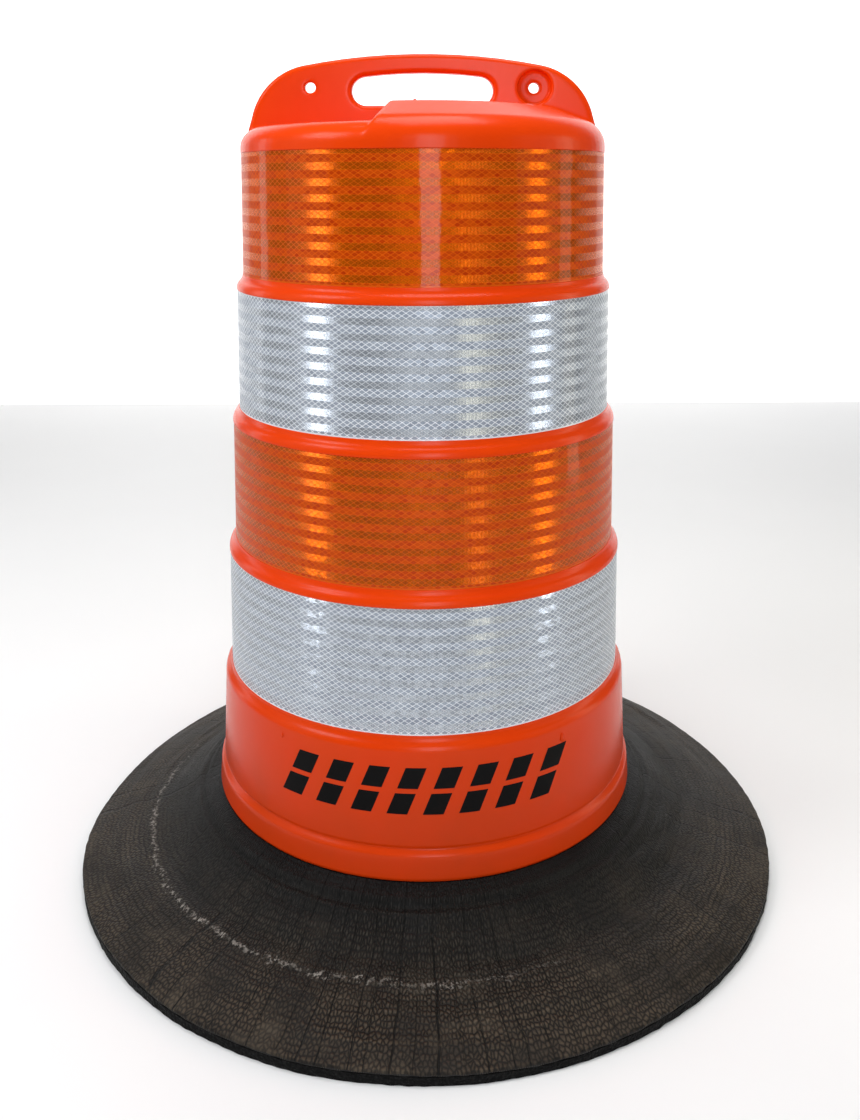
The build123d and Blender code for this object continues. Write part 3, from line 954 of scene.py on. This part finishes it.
@dataclass(frozen=True)
class BronzedWire:
    """Bronze-plated bead wire, wound turn on turn: fine bright rounds with dark gaps."""

    colour: str = "9a6a3c"
    gap: str = "1c130c"
    wire_mm: float = 1.6
    grime_mm: float = 6.0
    relief_mm: float = 0.6

    def build(self) -> bpy.types.Material:
        """Returns the bead wire's material."""
        material, put, shader = start_material("bronze_plated_bead_wire", Metallic=1.0)
        place = put("TexCoord").outputs["Object"]
        height = put("SeparateXYZ", None, {0: place}).outputs["Z"]
        turns = put("Math", {"operation": "DIVIDE"}, {0: height, 1: self.wire_mm * MM}).outputs[0]
        wire = put("Math", {"operation": "PINGPONG"}, {0: turns, 1: 0.5}).outputs[0]
        grime = put(
            "TexNoise", None, {"Vector": place, "Scale": 1 / (self.grime_mm * MM), "Detail": 3.0}
        ).outputs[0]
        shine = put("MapRange", None, {"Value": wire, 1: 0.02, 2: 0.25}).outputs[0]
        colour = put(
            "Mix", {"data_type": "RGBA"}, {"Factor": shine, "A": linear(self.gap), "B": linear(self.colour)}
        ).outputs["Result"]
        gloss = put("MapRange", None, {"Value": grime, 3: 0.25, 4: 0.5}).outputs[0]
        bump = put("Bump", None, {"Height": wire, "Strength": 0.8, "Distance": self.relief_mm * MM})
        tree = material.node_tree
        tree.links.new(colour, shader.inputs["Base Color"])
        tree.links.new(gloss, shader.inputs["Roughness"])
        tree.links.new(bump.outputs[0], shader.inputs["Normal"])
        return material


# --- the drum ------------------------------------------------------------------------------


@dataclass
class BandSeat:
    """One recess for sheeting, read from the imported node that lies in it."""

    index: int
    colour: SheetColour
    draft: float = 1.4

    @property
    def node(self) -> str:
        """Name of the CAD node that lies in this recess."""
        return f"sheeting_{self.index + 1}_{self.colour.value}"

    @property
    def top(self) -> float:
        """Height of the recess's upper edge."""
        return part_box(self.node)[1][2] / MM

    @property
    def bottom(self) -> float:
        """Height of the recess's lower edge."""
        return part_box(self.node)[0][2] / MM

    @property
    def bottom_radius(self) -> float:
        """Outer radius of the sheeting at its lower edge."""
        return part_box(self.node)[1][0] / MM

    @property
    def top_radius(self) -> float:
        """Outer radius of the sheeting at its upper edge."""
        return self.bottom_radius - self.draft


@dataclass
class DrumShell:
    """The one-piece moulded drum: crown with handle fin, stepped wall, lip and skirt."""

    seats: list[BandSeat]
    sheet: float = 0.5
    proud: float = 0.9
    wall: float = 2.6
    rib_height: float = 19.0
    rib_flat: float = 2.0
    step: float = 9.2
    lower_wall_radius: float = 275.5
    groove_height: float = 131.0
    groove_depth: float = 1.8
    lip_top: Point = (279.5, 124.0)
    lip_radius: float = 282.0
    lip_bottom: float = 92.5
    skirt_radius: float = 276.0
    edge_round: float = 0.7
    crown_base: float = 929.2
    voxel: float = 1.8
    smoothing: int = 9
    turn_steps: int = 720
    seam_height: float = 0.35
    seam_width: float = 1.6

    def outer_line(self) -> Line:
        """Outline of the wall from the first recess down to the skirt's outer edge.

        Returns:
            The outline's points, from the top down.
        """
        first = self.seats[0]
        line: Line = [(first.top_radius - self.sheet, first.top)]
        for seat in self.seats:
            foot = (seat.bottom_radius - self.sheet, seat.bottom)
            brow = (seat.bottom_radius + self.proud, seat.bottom)
            next_radius = seat.top_radius + self.step + self.proud
            next_top = seat.bottom - self.rib_height
            rib_end = (next_radius, next_top + self.rib_flat)
            middle = ((brow[0] + rib_end[0]) / 2, (brow[1] + rib_end[1]) / 2)
            line.append(foot)
            line += rounded(foot, brow, (brow[0], brow[1] - 3), self.edge_round)
            cove = arc(brow, middle, (0, -1), 9)
            line += cove[1:]
            heading = math.atan2(cove[-1][1] - cove[-2][1], cove[-1][0] - cove[-2][0])
            line += arc(middle, rib_end, (math.cos(heading), math.sin(heading)), 9)
            if seat is not self.seats[-1]:
                edge = (next_radius, next_top)
                recess = (next_radius - self.proud - self.sheet, next_top)
                line += rounded(rib_end, edge, recess, self.edge_round)
                line.append(recess)
        return line + self.foot_line()

    def foot_line(self) -> Line:
        """Outline of the groove, the lip and the skirt, below the plain wall.

        Returns:
            The outline's points, from the top down.
        """
        wall = (self.lower_wall_radius, self.groove_height + 2)
        groove = (self.lower_wall_radius - self.groove_depth, self.groove_height - 1.5)
        rise = (self.lip_top[0] - 2, self.lip_top[1] + 1.5)
        crest = (self.lip_top[0], self.lip_top[1] - 1)
        brim = (self.lip_top[0] + 0.8, self.lip_top[1] - 5)
        low = (self.lip_radius, self.lip_bottom + 3)
        tuck = (self.lip_radius - 1.5, self.lip_bottom)
        root = (self.skirt_radius, self.lip_bottom)
        line = [wall]
        line += rounded(wall, groove, rise, 2.0, 6)
        line += rounded(groove, rise, crest, 0.8)
        line += rounded(rise, crest, brim, 1.3, 6)
        line += rounded(crest, brim, low, 2.0)
        line += rounded(brim, low, tuck, 1.2)
        line += rounded(low, tuck, root, 0.5)
        line += [root, (self.skirt_radius, self.skirt_bottom)]
        return line

    @property
    def skirt_bottom(self) -> float:
        """Height of the skirt's lower edge."""
        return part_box("drum_body")[0][2] / MM

    def inner_line(self) -> Line:
        """Outline of the inside, from the skirt's edge up to the crown.

        Returns:
            The outline's points, from the foot up.
        """
        inset = self.sheet + self.wall
        line: Line = [(self.skirt_radius - self.wall, self.skirt_bottom)]
        line.append((self.skirt_radius - self.wall, self.groove_height - 20))
        for seat in reversed(self.seats):
            line.append((seat.top_radius + self.step - inset, seat.bottom - self.rib_height + self.wall))
            line.append((seat.bottom_radius - inset, seat.bottom - self.wall))
            line.append((seat.top_radius - inset, seat.top - self.wall))
        line.append((self.seats[0].top_radius - inset, self.crown_base))
        return line

    def crown(self) -> tuple[bpy.types.Mesh, bpy.types.Mesh]:
        """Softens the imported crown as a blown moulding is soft.

        Returns:
            The outer skin, open at the first recess, and the inner skin under it.
        """
        whole = bmesh.new()
        whole.from_mesh(bpy.data.objects["drum_body"].data)
        bmesh.ops.remove_doubles(whole, verts=whole.verts, dist=1e-5)
        everything = whole.verts[:] + whole.edges[:] + whole.faces[:]
        base = self.crown_base * MM
        bmesh.ops.bisect_plane(
            whole, geom=everything, plane_co=(0, 0, base), plane_no=(0, 0, 1), clear_inner=True
        )
        top = max(whole.verts, key=lambda vert: vert.co.z)
        found, waiting = {top}, [top]
        while waiting:
            for edge in waiting.pop().link_edges:
                for vert in edge.verts:
                    if vert not in found:
                        found.add(vert)
                        waiting.append(vert)
        inside = whole.copy()
        outer_numbers = {vert.index for vert in found}
        bmesh.ops.delete(whole, geom=[v for v in whole.verts if v not in found], context="VERTS")
        inside.verts.ensure_lookup_table()
        bmesh.ops.delete(inside, geom=[v for v in inside.verts if v.index in outer_numbers], context="VERTS")
        inner = bpy.data.meshes.new("crown_inside")
        inside.to_mesh(inner)
        inside.free()

        rim = [edge for edge in whole.edges if edge.is_boundary]
        lowered = bmesh.ops.extrude_edge_only(whole, edges=rim)["geom"]
        moved = [part for part in lowered if isinstance(part, bmesh.types.BMVert)]
        bmesh.ops.translate(whole, verts=moved, vec=(0, 0, -20 * MM))
        bmesh.ops.holes_fill(whole, edges=[edge for edge in whole.edges if edge.is_boundary], sides=0)
        bmesh.ops.recalc_face_normals(whole, faces=whole.faces)
        solid = bpy.data.meshes.new("crown_solid")
        whole.to_mesh(solid)
        whole.free()
        return self.soften(solid), inner

    def soften(self, solid: bpy.types.Mesh) -> bpy.types.Mesh:
        """Remeshes the crown evenly, smooths it and trims it at the first recess.

        Args:
            solid: The closed crown.

        Returns:
            The trimmed outer skin.
        """
        holder = bpy.data.objects.new("crown_solid", solid)
        bpy.context.scene.collection.objects.link(holder)
        remesh = holder.modifiers.new("even", "REMESH")
        remesh.mode = "VOXEL"
        remesh.voxel_size = self.voxel * MM
        relax = holder.modifiers.new("soft", "SMOOTH")
        relax.factor = 0.5
        relax.iterations = self.smoothing
        graph = bpy.context.evaluated_depsgraph_get()
        mesh = bpy.data.meshes.new_from_object(holder.evaluated_get(graph))
        bpy.data.objects.remove(holder)
        skin = bmesh.new()
        skin.from_mesh(mesh)
        bmesh.ops.bisect_plane(
            skin,
            geom=skin.verts[:] + skin.edges[:] + skin.faces[:],
            plane_co=(0, 0, self.seats[0].top * MM),
            plane_no=(0, 0, 1),
            clear_inner=True,
        )
        skin.to_mesh(mesh)
        skin.free()
        return mesh

    def seam_swell(self, line: Line, angles: np.ndarray) -> np.ndarray:
        """The mould's parting line, a low ridge down both sides.

        Args:
            line: The outline that it runs along.
            angles: The turn's angles.

        Returns:
            Radius to add at each outline point and angle.
        """
        across = self.lower_wall_radius * np.abs(np.sin(angles))
        ridge = self.seam_height * np.exp(-((across / self.seam_width) ** 2))
        return np.ones((len(line), 1)) * ridge

    def build(self, material: bpy.types.Material) -> bpy.types.Object:
        """Builds the drum as one closed shell.

        Args:
            material: The orange plastic.

        Returns:
            The drum.
        """
        angles = np.arange(self.turn_steps) * 2 * math.pi / self.turn_steps
        outer = guarded(self.outer_line())
        inner = self.inner_line()
        swell = np.vstack([self.seam_swell(outer, angles), np.zeros((len(inner), len(angles)))])
        wall = make_mesh("wall", spin(outer + inner, angles, swell), False, True)
        crown_outside, crown_inside = self.crown()
        shell = bmesh.new()
        for mesh in (wall, crown_outside, crown_inside):
            shell.from_mesh(mesh)
        heights = {self.seats[0].top * MM: [], self.crown_base * MM: []}
        for edge in shell.edges:
            if edge.is_boundary:
                level = min(heights, key=lambda height: abs(height - edge.verts[0].co.z))
                heights[level].append(edge)
        for rim in heights.values():
            bmesh.ops.triangle_fill(shell, edges=rim, use_beauty=False, normal=(0, 0, 1))
        LOG.info("open edges left in the shell: %d", sum(edge.is_boundary for edge in shell.edges))
        mesh = bpy.data.meshes.new("drum_shell")
        shell.to_mesh(mesh)
        shell.free()
        drum = make_object(mesh, material, Body.DRUM, sharp=40.0)
        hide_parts("drum_body")
        return drum


@dataclass
class MouldMark:
    """A small blemish of the moulding: a run of plastic on the wall or a nub on the crown."""

    name: str
    centre: tuple[float, float, float]
    half_width: float
    half_height: float
    rise: float
    upright: bool

    def build(self, material: bpy.types.Material) -> bpy.types.Object:
        """Builds the mark as a closed drop, wider at its foot, half sunk in the shell.

        Args:
            material: The orange plastic.

        Returns:
            The mark.
        """
        rows, columns = 9, 20
        bearing = math.atan2(self.centre[1], self.centre[0])
        outward = np.array([math.cos(bearing), math.sin(bearing), 0.0])
        sideways = np.array([-math.sin(bearing), math.cos(bearing), 0.0])
        upward = np.array([0.0, 0.0, 1.0])
        if self.upright:
            outward, upward = upward, outward
        points = np.zeros((rows, columns, 3))
        for row in range(rows):
            polar = math.pi * (row + 0.5) / rows
            for column in range(columns):
                angle = 2 * math.pi * column / columns
                taper = 1 - 0.35 * math.sin(angle)
                across = self.half_width * taper * math.sin(polar) * math.cos(angle)
                along = self.half_height * math.sin(polar) * math.sin(angle)
                points[row, column] = (
                    np.array(self.centre)
                    + sideways * across
                    + upward * along
                    + outward * self.rise * math.cos(polar)
                )
        mesh = make_mesh(self.name, points, False, True)
        drop = bmesh.new()
        drop.from_mesh(mesh)
        bmesh.ops.holes_fill(drop, edges=[edge for edge in drop.edges if edge.is_boundary], sides=0)
        drop.to_mesh(mesh)
        drop.free()
        mark = make_object(mesh, material, Body.DRUM, sharp=60.0)
        return mark


@dataclass
class SheetingWrap:
    """One strip of film, wrapped once around its recess and spliced at the back."""

    seat: BandSeat
    thickness: float = 0.5
    gap: float = 0.5
    splice_degrees: float = 6.0
    climb_degrees: float = 1.2
    steps_per_degree: int = 2

    def build(self, material: bpy.types.Material) -> bpy.types.Object:
        """Builds the strip, whose last few degrees climb over its start.

        Args:
            material: The film.

        Returns:
            The strip.
        """
        start = 90 - self.splice_degrees / 2
        sweep = 360 + self.splice_degrees
        degrees = np.linspace(0, sweep, int(sweep * self.steps_per_degree) + 1)
        climb = np.clip((degrees - (360 - self.climb_degrees)) / self.climb_degrees, 0, 1)
        lift = self.thickness * climb**2 * (3 - 2 * climb)
        top, bottom = self.seat.top - self.gap, self.seat.bottom + 0.1
        outer_top, outer_bottom = self.seat.top_radius, self.seat.bottom_radius
        line = [
            (outer_top - self.thickness, top),
            (outer_top, top),
            (outer_bottom, bottom),
            (outer_bottom - self.thickness, bottom),
        ]
        angles = np.radians(start + degrees)
        points = spin(line, angles, np.ones((len(line), 1)) * lift)
        along = np.radians(degrees) * outer_top
        rise = [height - self.seat.bottom for _, height in line]
        mesh = make_mesh(self.seat.node + "_film", points, True, False, (along, rise))
        strip = make_object(mesh, material, Body.DRUM)
        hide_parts(self.seat.node)
        return strip


@dataclass
class StencilMarking:
    """Plain slanted bars sprayed through a stencil, each cut in two by the stencil's bridge."""

    wall_top: Point
    wall_bottom: Point
    bars: int = 8
    pitch: float = 42.0
    bar_width: float = 24.0
    slant_degrees: float = 22.0
    bridge: float = 6.0
    coat: float = 0.25
    rows: int = 8
    columns: int = 8

    def wall_radius(self, height: np.ndarray) -> np.ndarray:
        """Radius of the plain wall at a height."""
        share = (self.wall_top[1] - height) / (self.wall_top[1] - self.wall_bottom[1])
        return self.wall_top[0] + share * (self.wall_bottom[0] - self.wall_top[0])

    def build(self, material: bpy.types.Material) -> bpy.types.Object:
        """Builds every half bar as a thin closed plate that hugs the wall.

        Args:
            material: The paint.

        Returns:
            The marking, one piece of many plates.
        """
        low, high = (corner[2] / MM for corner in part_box("stencil_marking"))
        middle = (low + high) / 2
        lean = math.tan(math.radians(self.slant_degrees))
        marking = bmesh.new()
        for bar in range(self.bars):
            centre = (bar - (self.bars - 1) / 2) * self.pitch
            for bottom, top in ((low, middle - self.bridge / 2), (middle + self.bridge / 2, high)):
                heights = np.linspace(bottom, top, self.rows)
                across = np.linspace(-self.bar_width / 2, self.bar_width / 2, self.columns)
                x = centre + across[None, :] + (heights[:, None] - middle) * lean
                radius = self.wall_radius(heights)[:, None]
                layers = []
                for lift in (self.coat, -0.4):
                    reach = radius + lift
                    layers.append(np.stack([x, -np.sqrt(reach**2 - x**2), heights[:, None] + 0 * x], axis=2))
                section = np.concatenate([layers[0], layers[1][:, ::-1]], axis=1).transpose(1, 0, 2)
                plate = make_mesh("plate", section, True, False)
                marking.from_mesh(plate)
                bpy.data.meshes.remove(plate)
        mesh = bpy.data.meshes.new("stencil_bars")
        marking.to_mesh(mesh)
        marking.free()
        piece = make_object(mesh, material, Body.DRUM)
        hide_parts("stencil_marking")
        return piece


# --- the ballast ring ----------------------------------------------------------------------


@dataclass
class BallastRing:
    """A tyre sidewall with its bead, cut from a truck tyre by hand and laid liner side up."""

    top_line: Line = field(
        default_factory=lambda: [
            (281.5, 92.2),
            (306.0, 78.0),
            (330.0, 60.5),
            (356.0, 46.0),
            (400.0, 34.5),
            (470.0, 14.0),
        ]
    )
    underside: Line = field(
        default_factory=lambda: [
            (293.75, 45.0),
            (306.0, 45.0),
            (335.0, 38.0),
            (370.0, 27.0),
            (412.0, 9.0),
            (436.0, 0.0),
        ]
    )
    liner: float = 2.5
    ply: float = 2.0
    toe_radius: float = 278.0
    toe_height: float = 82.0
    trim: dict[int, float] = field(
        default_factory=lambda: {
            -150: 3.0,
            -120: 2.0,
            -90: 1.4,
            -60: 2.0,
            -30: 0.5,
            0: 1.0,
            30: 4.0,
            80: 5.0,
            120: 18.0,
            145: 34.0,
            170: 23.0,
            190: 6.0,
        }
    )
    ridges: list[tuple[float, float, float, float, int]] = field(
        default_factory=lambda: [
            (298.0, 1.6, 2.8, 0.6, 7),
            (305.0, -2.6, 3.2, 0.8, 7),
            (313.0, 1.2, 3.0, 1.5, 10),
            (322.0, -1.2, 3.0, 2.0, 11),
            (355.0, -1.8, 7.0, 4.0, 8),
            (379.0, 1.0, 4.0, 3.0, 9),
            (428.0, -0.8, 5.0, 5.0, 5),
            (446.0, 0.5, 4.0, 6.0, 6),
        ]
    )
    ragged: float = 0.7
    turn_steps: int = 1080
    top_rows: int = 120
    cut_rows: int = 9
    trim_window: int = 91
    ply_gap: float = 0.02
    undercut: float = 0.8
    heel: tuple[float, float] = (289.75, 52.0)
    toe_width: float = 4.0
    toe_shoulder: float = 88.7
    toe_top: tuple[float, float] = (281.4, 92.1)

    def edge_radius(self, angles: np.ndarray) -> np.ndarray:
        """Radius of the hand-cut edge.

        Args:
            angles: Angle of each point.

        Returns:
            Radii, with the flats that the knife left.
        """
        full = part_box("sidewall_rubber")[1][0] / MM
        marks = sorted((angle % 360, depth) for angle, depth in self.trim.items())
        inset = np.interp(np.degrees(angles) % 360, *zip(*marks), period=360)
        window = np.hanning(self.trim_window)
        half = self.trim_window // 2
        smooth = np.convolve(np.concatenate([inset[-half:], inset, inset[:half]]), window / window.sum(), "valid")
        return full - self.ragged - smooth - 0.8 * (1 + ripple(angles, 4, 5, 22)) / 2

    def surface(self, radii: np.ndarray, angles: np.ndarray) -> np.ndarray:
        """Height of the ring's top surface.

        Args:
            radii: Radius of each point.
            angles: Angle of each point.

        Returns:
            Heights, with the ridges and the slow waves of a used tyre.
        """
        height = smooth_line(self.top_line, -0.42, -0.30, radii)
        free = np.clip((radii - 292) / 25, 0, 1)
        for radius, rise, width, sway, seed in self.ridges:
            offset = radii - radius - sway * ripple(angles, seed, 1, 5)
            height += rise * np.exp(-((offset / width) ** 2)) * np.clip((radii - 287) / 8, 0, 1)
        height += free * 1.3 * ripple(angles + radii / 160, 21, 2, 9)
        height += free * 0.5 * ripple(angles - radii / 90, 22, 8, 26)
        return height

    def layer(
        self, name: str, drop_top: float, drop_bottom: float, rows: int, recess: float
    ) -> bpy.types.Mesh:
        """One even layer of the ring, from the bead out to the cut edge.

        Args:
            name: The mesh's name.
            drop_top: Depth of its upper face under the ring's surface.
            drop_bottom: Depth of its lower face.
            rows: Number of steps across its upper face.
            recess: How far its cut edge stands back.

        Returns:
            The closed layer.
        """
        angles = np.arange(self.turn_steps) * 2 * math.pi / self.turn_steps
        edge = self.edge_radius(angles) - recess
        edge = edge + 0.35 * ripple(angles, int(drop_top) + 31, 40, 160)
        inner = self.top_line[0][0]
        points, across = [], []
        thick = drop_bottom - drop_top
        outline = [(share, 0.0, 0.0) for share in np.linspace(0, 1, rows)[:-1]]
        outline += [(1.0, -1.0, 0.0), (1.0, -0.3, 0.12), (1.0, 0.0, 0.4), (1.0, 0.0, 0.9), (1.0, -0.2, 1.0)]
        outline += [(share, 0.0, 1.0) for share in np.linspace(1, 0, 14)[1:]]
        for share, shift, depth in outline:
            radii = inner + share * (edge - inner) + shift
            heights = self.surface(radii, angles) - drop_top - depth * thick
            points.append(np.stack([radii * np.cos(angles), radii * np.sin(angles), heights], axis=1))
            across.append(inner + share * (self.top_line[-1][0] - inner) + shift)
        turns = np.arange(self.turn_steps + 1) / self.turn_steps
        return make_mesh(name, np.stack(points), True, True, (turns, across))

    def sidewall(self, name: str) -> bpy.types.Mesh:
        """The thick rubber under the ply, with the bead's toe and the hand-cut outer face.

        Args:
            name: The mesh's name.

        Returns:
            The closed sidewall.
        """
        angles = np.arange(self.turn_steps) * 2 * math.pi / self.turn_steps
        edge = self.edge_radius(angles)
        inner = self.top_line[0][0]
        cover = self.liner + self.ply
        rings: list[tuple[np.ndarray, np.ndarray]] = []
        for share in np.linspace(0, 1, 30)[:-1]:
            radii = inner + share * (edge - inner)
            rings.append((radii, self.surface(radii, angles) - cover - self.ply_gap))
        rim_height = self.surface(edge, angles) - cover - self.ply_gap
        for row in range(self.cut_rows):
            share = row / (self.cut_rows - 1)
            tear = self.ragged * (0.5 * ripple(angles, 60 + row, 60, 200) + 0.5 * ripple(angles, 90, 12, 50))
            hang = 0.6 * ripple(angles, 77, 20, 90) * share if row < self.cut_rows - 1 else 0.0
            radii = edge + np.minimum(tear, self.ragged) - self.undercut * share**3
            rings.append((radii, rim_height * (1 - share) + hang * 0.3))
        for radius, height in reversed(guarded(self.underside, 0.5)):
            under = np.full_like(angles, height)
            rings.append((np.full_like(angles, radius), under))
        shoulder = (self.toe_radius, self.toe_shoulder)
        toe = [self.heel, (self.toe_radius + self.toe_width, self.toe_height)]
        toe += [(self.toe_radius, self.toe_height), shoulder]
        toe += arc(shoulder, self.toe_top, (0, 1), 5)
        for radius, height in toe:
            rings.append((np.full_like(angles, radius), np.full_like(angles, height)))
        points = [
            np.stack([radius * np.cos(angles), radius * np.sin(angles), np.maximum(z, 0.0)], axis=1)
            for radius, z in rings
        ]
        return make_mesh(name, np.stack(points), True, True)

    def build(self, liner: LinerRubber, rubber: CutRubber, ply: SteelCordPly, wire: BronzedWire) -> None:
        """Builds the ring's layers and dresses the nodes inside it.

        Args:
            liner: Finish of the top face.
            rubber: Finish of the sidewall, the bead filler and the chafer.
            ply: Finish of the steel-cord ply.
            wire: Finish of the bead bundle.
        """
        cut = rubber.build()
        skin = self.layer("liner_skin", 0.0, self.liner, self.top_rows, 0.2)
        top = make_object(skin, liner.build(), Body.RING)
        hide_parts("inner_liner")
        cords = self.layer("cord_ply_layer", self.liner + 0.01, self.liner + self.ply, 16, 0.7)
        middle = make_object(cords, ply.build(), Body.RING)
        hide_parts("body_ply")
        side = make_object(self.sidewall("sidewall_slab"), cut, Body.RING)
        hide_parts("sidewall_rubber")
        inside = {"bead_core": wire.build(), "bead_filler": cut, "bead_chafer": cut}
        for name, material in inside.items():
            node = bpy.data.objects[name]
            node.data.materials.clear()
            node.data.materials.append(material)
            LOG.info("%s dressed in %s", name, material.name)


# --- the studio ----------------------------------------------------------------------------


@dataclass
class Camera:
    """The viewpoint: in front of the drum, a little below the handle."""

    distance: float = 1.418
    height: float = 0.891
    pitch: float = math.radians(8.41)
    yaw: float = math.radians(0.36)
    roll: float = math.radians(-0.12)
    focal_length: float = 34.55
    shift_y: float = -0.1946

    def build(self) -> bpy.types.Object:
        """Makes the camera and makes it the scene's own.

        Returns:
            The camera.
        """
        data = bpy.data.cameras.new("camera")
        data.sensor_width = 36.0
        data.lens = self.focal_length
        data.shift_y = self.shift_y
        data.clip_end = 50.0
        camera = bpy.data.objects.new("camera", data)
        aim = Matrix.Rotation(-self.yaw, 4, "Z") @ Matrix.Rotation(math.pi / 2 - self.pitch, 4, "X")
        place = Matrix.Translation((0.0, -self.distance, self.height))
        camera.matrix_world = place @ aim @ Matrix.Rotation(self.roll, 4, "Z")
        bpy.context.scene.collection.objects.link(camera)
        bpy.context.scene.camera = camera
        return camera


@dataclass(frozen=True)
class Softbox:
    """An oblong area light that looks at a point of the drum; its sizes are in metres."""

    name: str
    place: tuple[float, float, float]
    aim: tuple[float, float, float]
    width: float
    height: float
    radiance: float
    colour: str = "ffffff"

    def build(self) -> bpy.types.Object:
        """Makes the light.

        Returns:
            The light.
        """
        data = bpy.data.lights.new(self.name, "AREA")
        data.shape = "RECTANGLE"
        data.size = self.width
        data.size_y = self.height
        data.energy = self.radiance * math.pi * self.width * self.height
        data.color = linear(self.colour)[:3]
        light = bpy.data.objects.new(self.name, data)
        towards = Matrix.Translation(self.aim).translation - Matrix.Translation(self.place).translation
        light.rotation_euler = towards.to_track_quat("-Z", "Y").to_euler()
        light.location = self.place
        bpy.context.scene.collection.objects.link(light)
        return light


@dataclass
class Studio:
    """A pale seamless floor under soft light, with a bright wall behind."""

    floor_half: float = 4.5
    wall_half: float = 2.8
    wall_height: float = 3.8
    wall_distance: float = 2.9
    sky: float = 0.14
    boxes: list[Softbox] = field(
        default_factory=lambda: [
            Softbox("key", (-1.6, -0.75, 2.1), (0.0, 0.0, 0.75), 0.8, 0.8, 9.5),
            Softbox("window", (0.22, -3.0, 1.35), (0.0, 0.0, 0.6), 0.6, 1.9, 9.0, "f4f8ff"),
            Softbox("overhead", (0.1, -0.2, 3.0), (0.0, 0.0, 0.3), 1.4, 1.4, 7.0),
            Softbox("panel_left", (-2.6, -0.85, 1.2), (0.0, 0.0, 0.6), 1.6, 1.6, 0.55),
            Softbox("panel_right", (2.6, -0.85, 1.2), (0.0, 0.0, 0.6), 1.6, 1.6, 0.5),
            Softbox("side_left", (-2.3, 0.9, 0.9), (0.0, 0.0, 0.6), 0.35, 1.6, 3.0),
            Softbox("side_right", (2.1, 0.1, 0.8), (0.0, 0.0, 0.6), 0.4, 1.6, 3.5, "fff6da"),
        ]
    )

    def build(self) -> None:
        """Makes the world, the floor and the lights."""
        world = bpy.data.worlds.new("studio")
        bpy.context.scene.world = world
        world.use_nodes = True
        sky = world.node_tree.nodes["Background"]
        sky.inputs["Color"].default_value = (1.0, 1.0, 1.0, 1.0)
        # the sky looks white on every side, yet gives only a little light
        seen = add_node(world.node_tree, "LightPath").outputs["Is Camera Ray"]
        strength = add_node(world.node_tree, "MapRange", None, {"Value": seen, 3: self.sky, 4: 1.0})
        world.node_tree.links.new(strength.outputs[0], sky.inputs["Strength"])
        bpy.context.scene.view_settings.view_transform = "Standard"
        half, wide, far, high = self.floor_half, self.wall_half, self.wall_distance, self.wall_height
        paper, put, shader = start_material("studio_paper", Roughness=0.9)
        place = put("TexCoord").outputs["Object"]
        mottle = put("TexNoise", None, {"Vector": place, "Scale": 2.0})
        tone = put(
            "Mix",
            {"data_type": "RGBA"},
            {"Factor": mottle.outputs[0], "A": linear("f0f0f0"), "B": linear("f4f4f4")},
        )
        paper.node_tree.links.new(tone.outputs["Result"], shader.inputs["Base Color"])
        white = (1.0, 1.0, 1.0, 1.0)
        glowing = start_material(
            "lit_paper", Roughness=0.9, Emission_Color=white, Emission_Strength=1.0
        )[0]
        sheets = {
            "floor": ([(-half, -half, 0), (half, -half, 0), (half, far, 0), (-half, far, 0)], paper),
            "backdrop": ([(-wide, far, 0), (wide, far, 0), (wide, far, high), (-wide, far, high)], glowing),
        }
        for name, (corners, material) in sheets.items():
            mesh = bpy.data.meshes.new(name)
            mesh.from_pydata(corners, [], [(0, 1, 2, 3)])
            mesh.materials.append(material)
            sheet = bpy.data.objects.new(name, mesh)
            bpy.context.scene.collection.objects.link(sheet)
        for box in self.boxes:
            box.build()
        LOG.info("studio: %d softboxes", len(self.boxes))


# --- the whole -----------------------------------------------------------------------------


def main() -> None:
    """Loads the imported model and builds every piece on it."""
    logging.basicConfig(level=logging.INFO)
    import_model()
    Camera().build()

    plastic = MouldedPolyethylene().build()
    films = {
        SheetColour.ORANGE: PrismaticSheeting("prismatic_film_orange", "b83400", "e0600a", "f87800").build(),
        SheetColour.WHITE: PrismaticSheeting("prismatic_film_white", "8f98a5", "f4f7fa", "dce3ea").build(),
    }
    colours = [SheetColour.ORANGE, SheetColour.WHITE] * 2
    seats = [BandSeat(index, colour) for index, colour in enumerate(colours)]
    shell = DrumShell(seats)
    shell.build(plastic)
    for seat in seats:
        SheetingWrap(seat).build(films[seat.colour])
    last = seats[-1]
    wall_top = (last.top_radius + shell.step + shell.proud, last.bottom - shell.rib_height + shell.rib_flat)
    wall_bottom = (shell.lower_wall_radius, shell.groove_height + 2)
    StencilMarking(wall_top, wall_bottom).build(StencilPaint().build())
    for mark in (
        MouldMark("mould_run_left", (-171.0, -211.0, 237.0), 2.0, 3.0, 0.7, False),
        MouldMark("mould_run_right", (165.0, -216.0, 235.0), 3.0, 5.5, 1.2, False),
        MouldMark("mould_nub", (-9.0, -149.0, 985.5), 2.2, 2.8, 2.0, True),
    ):
        mark.build(plastic)
    BallastRing().build(LinerRubber(), CutRubber(), SteelCordPly(), BronzedWire())
    Studio().build()


if __name__ == "__main__":
    main()
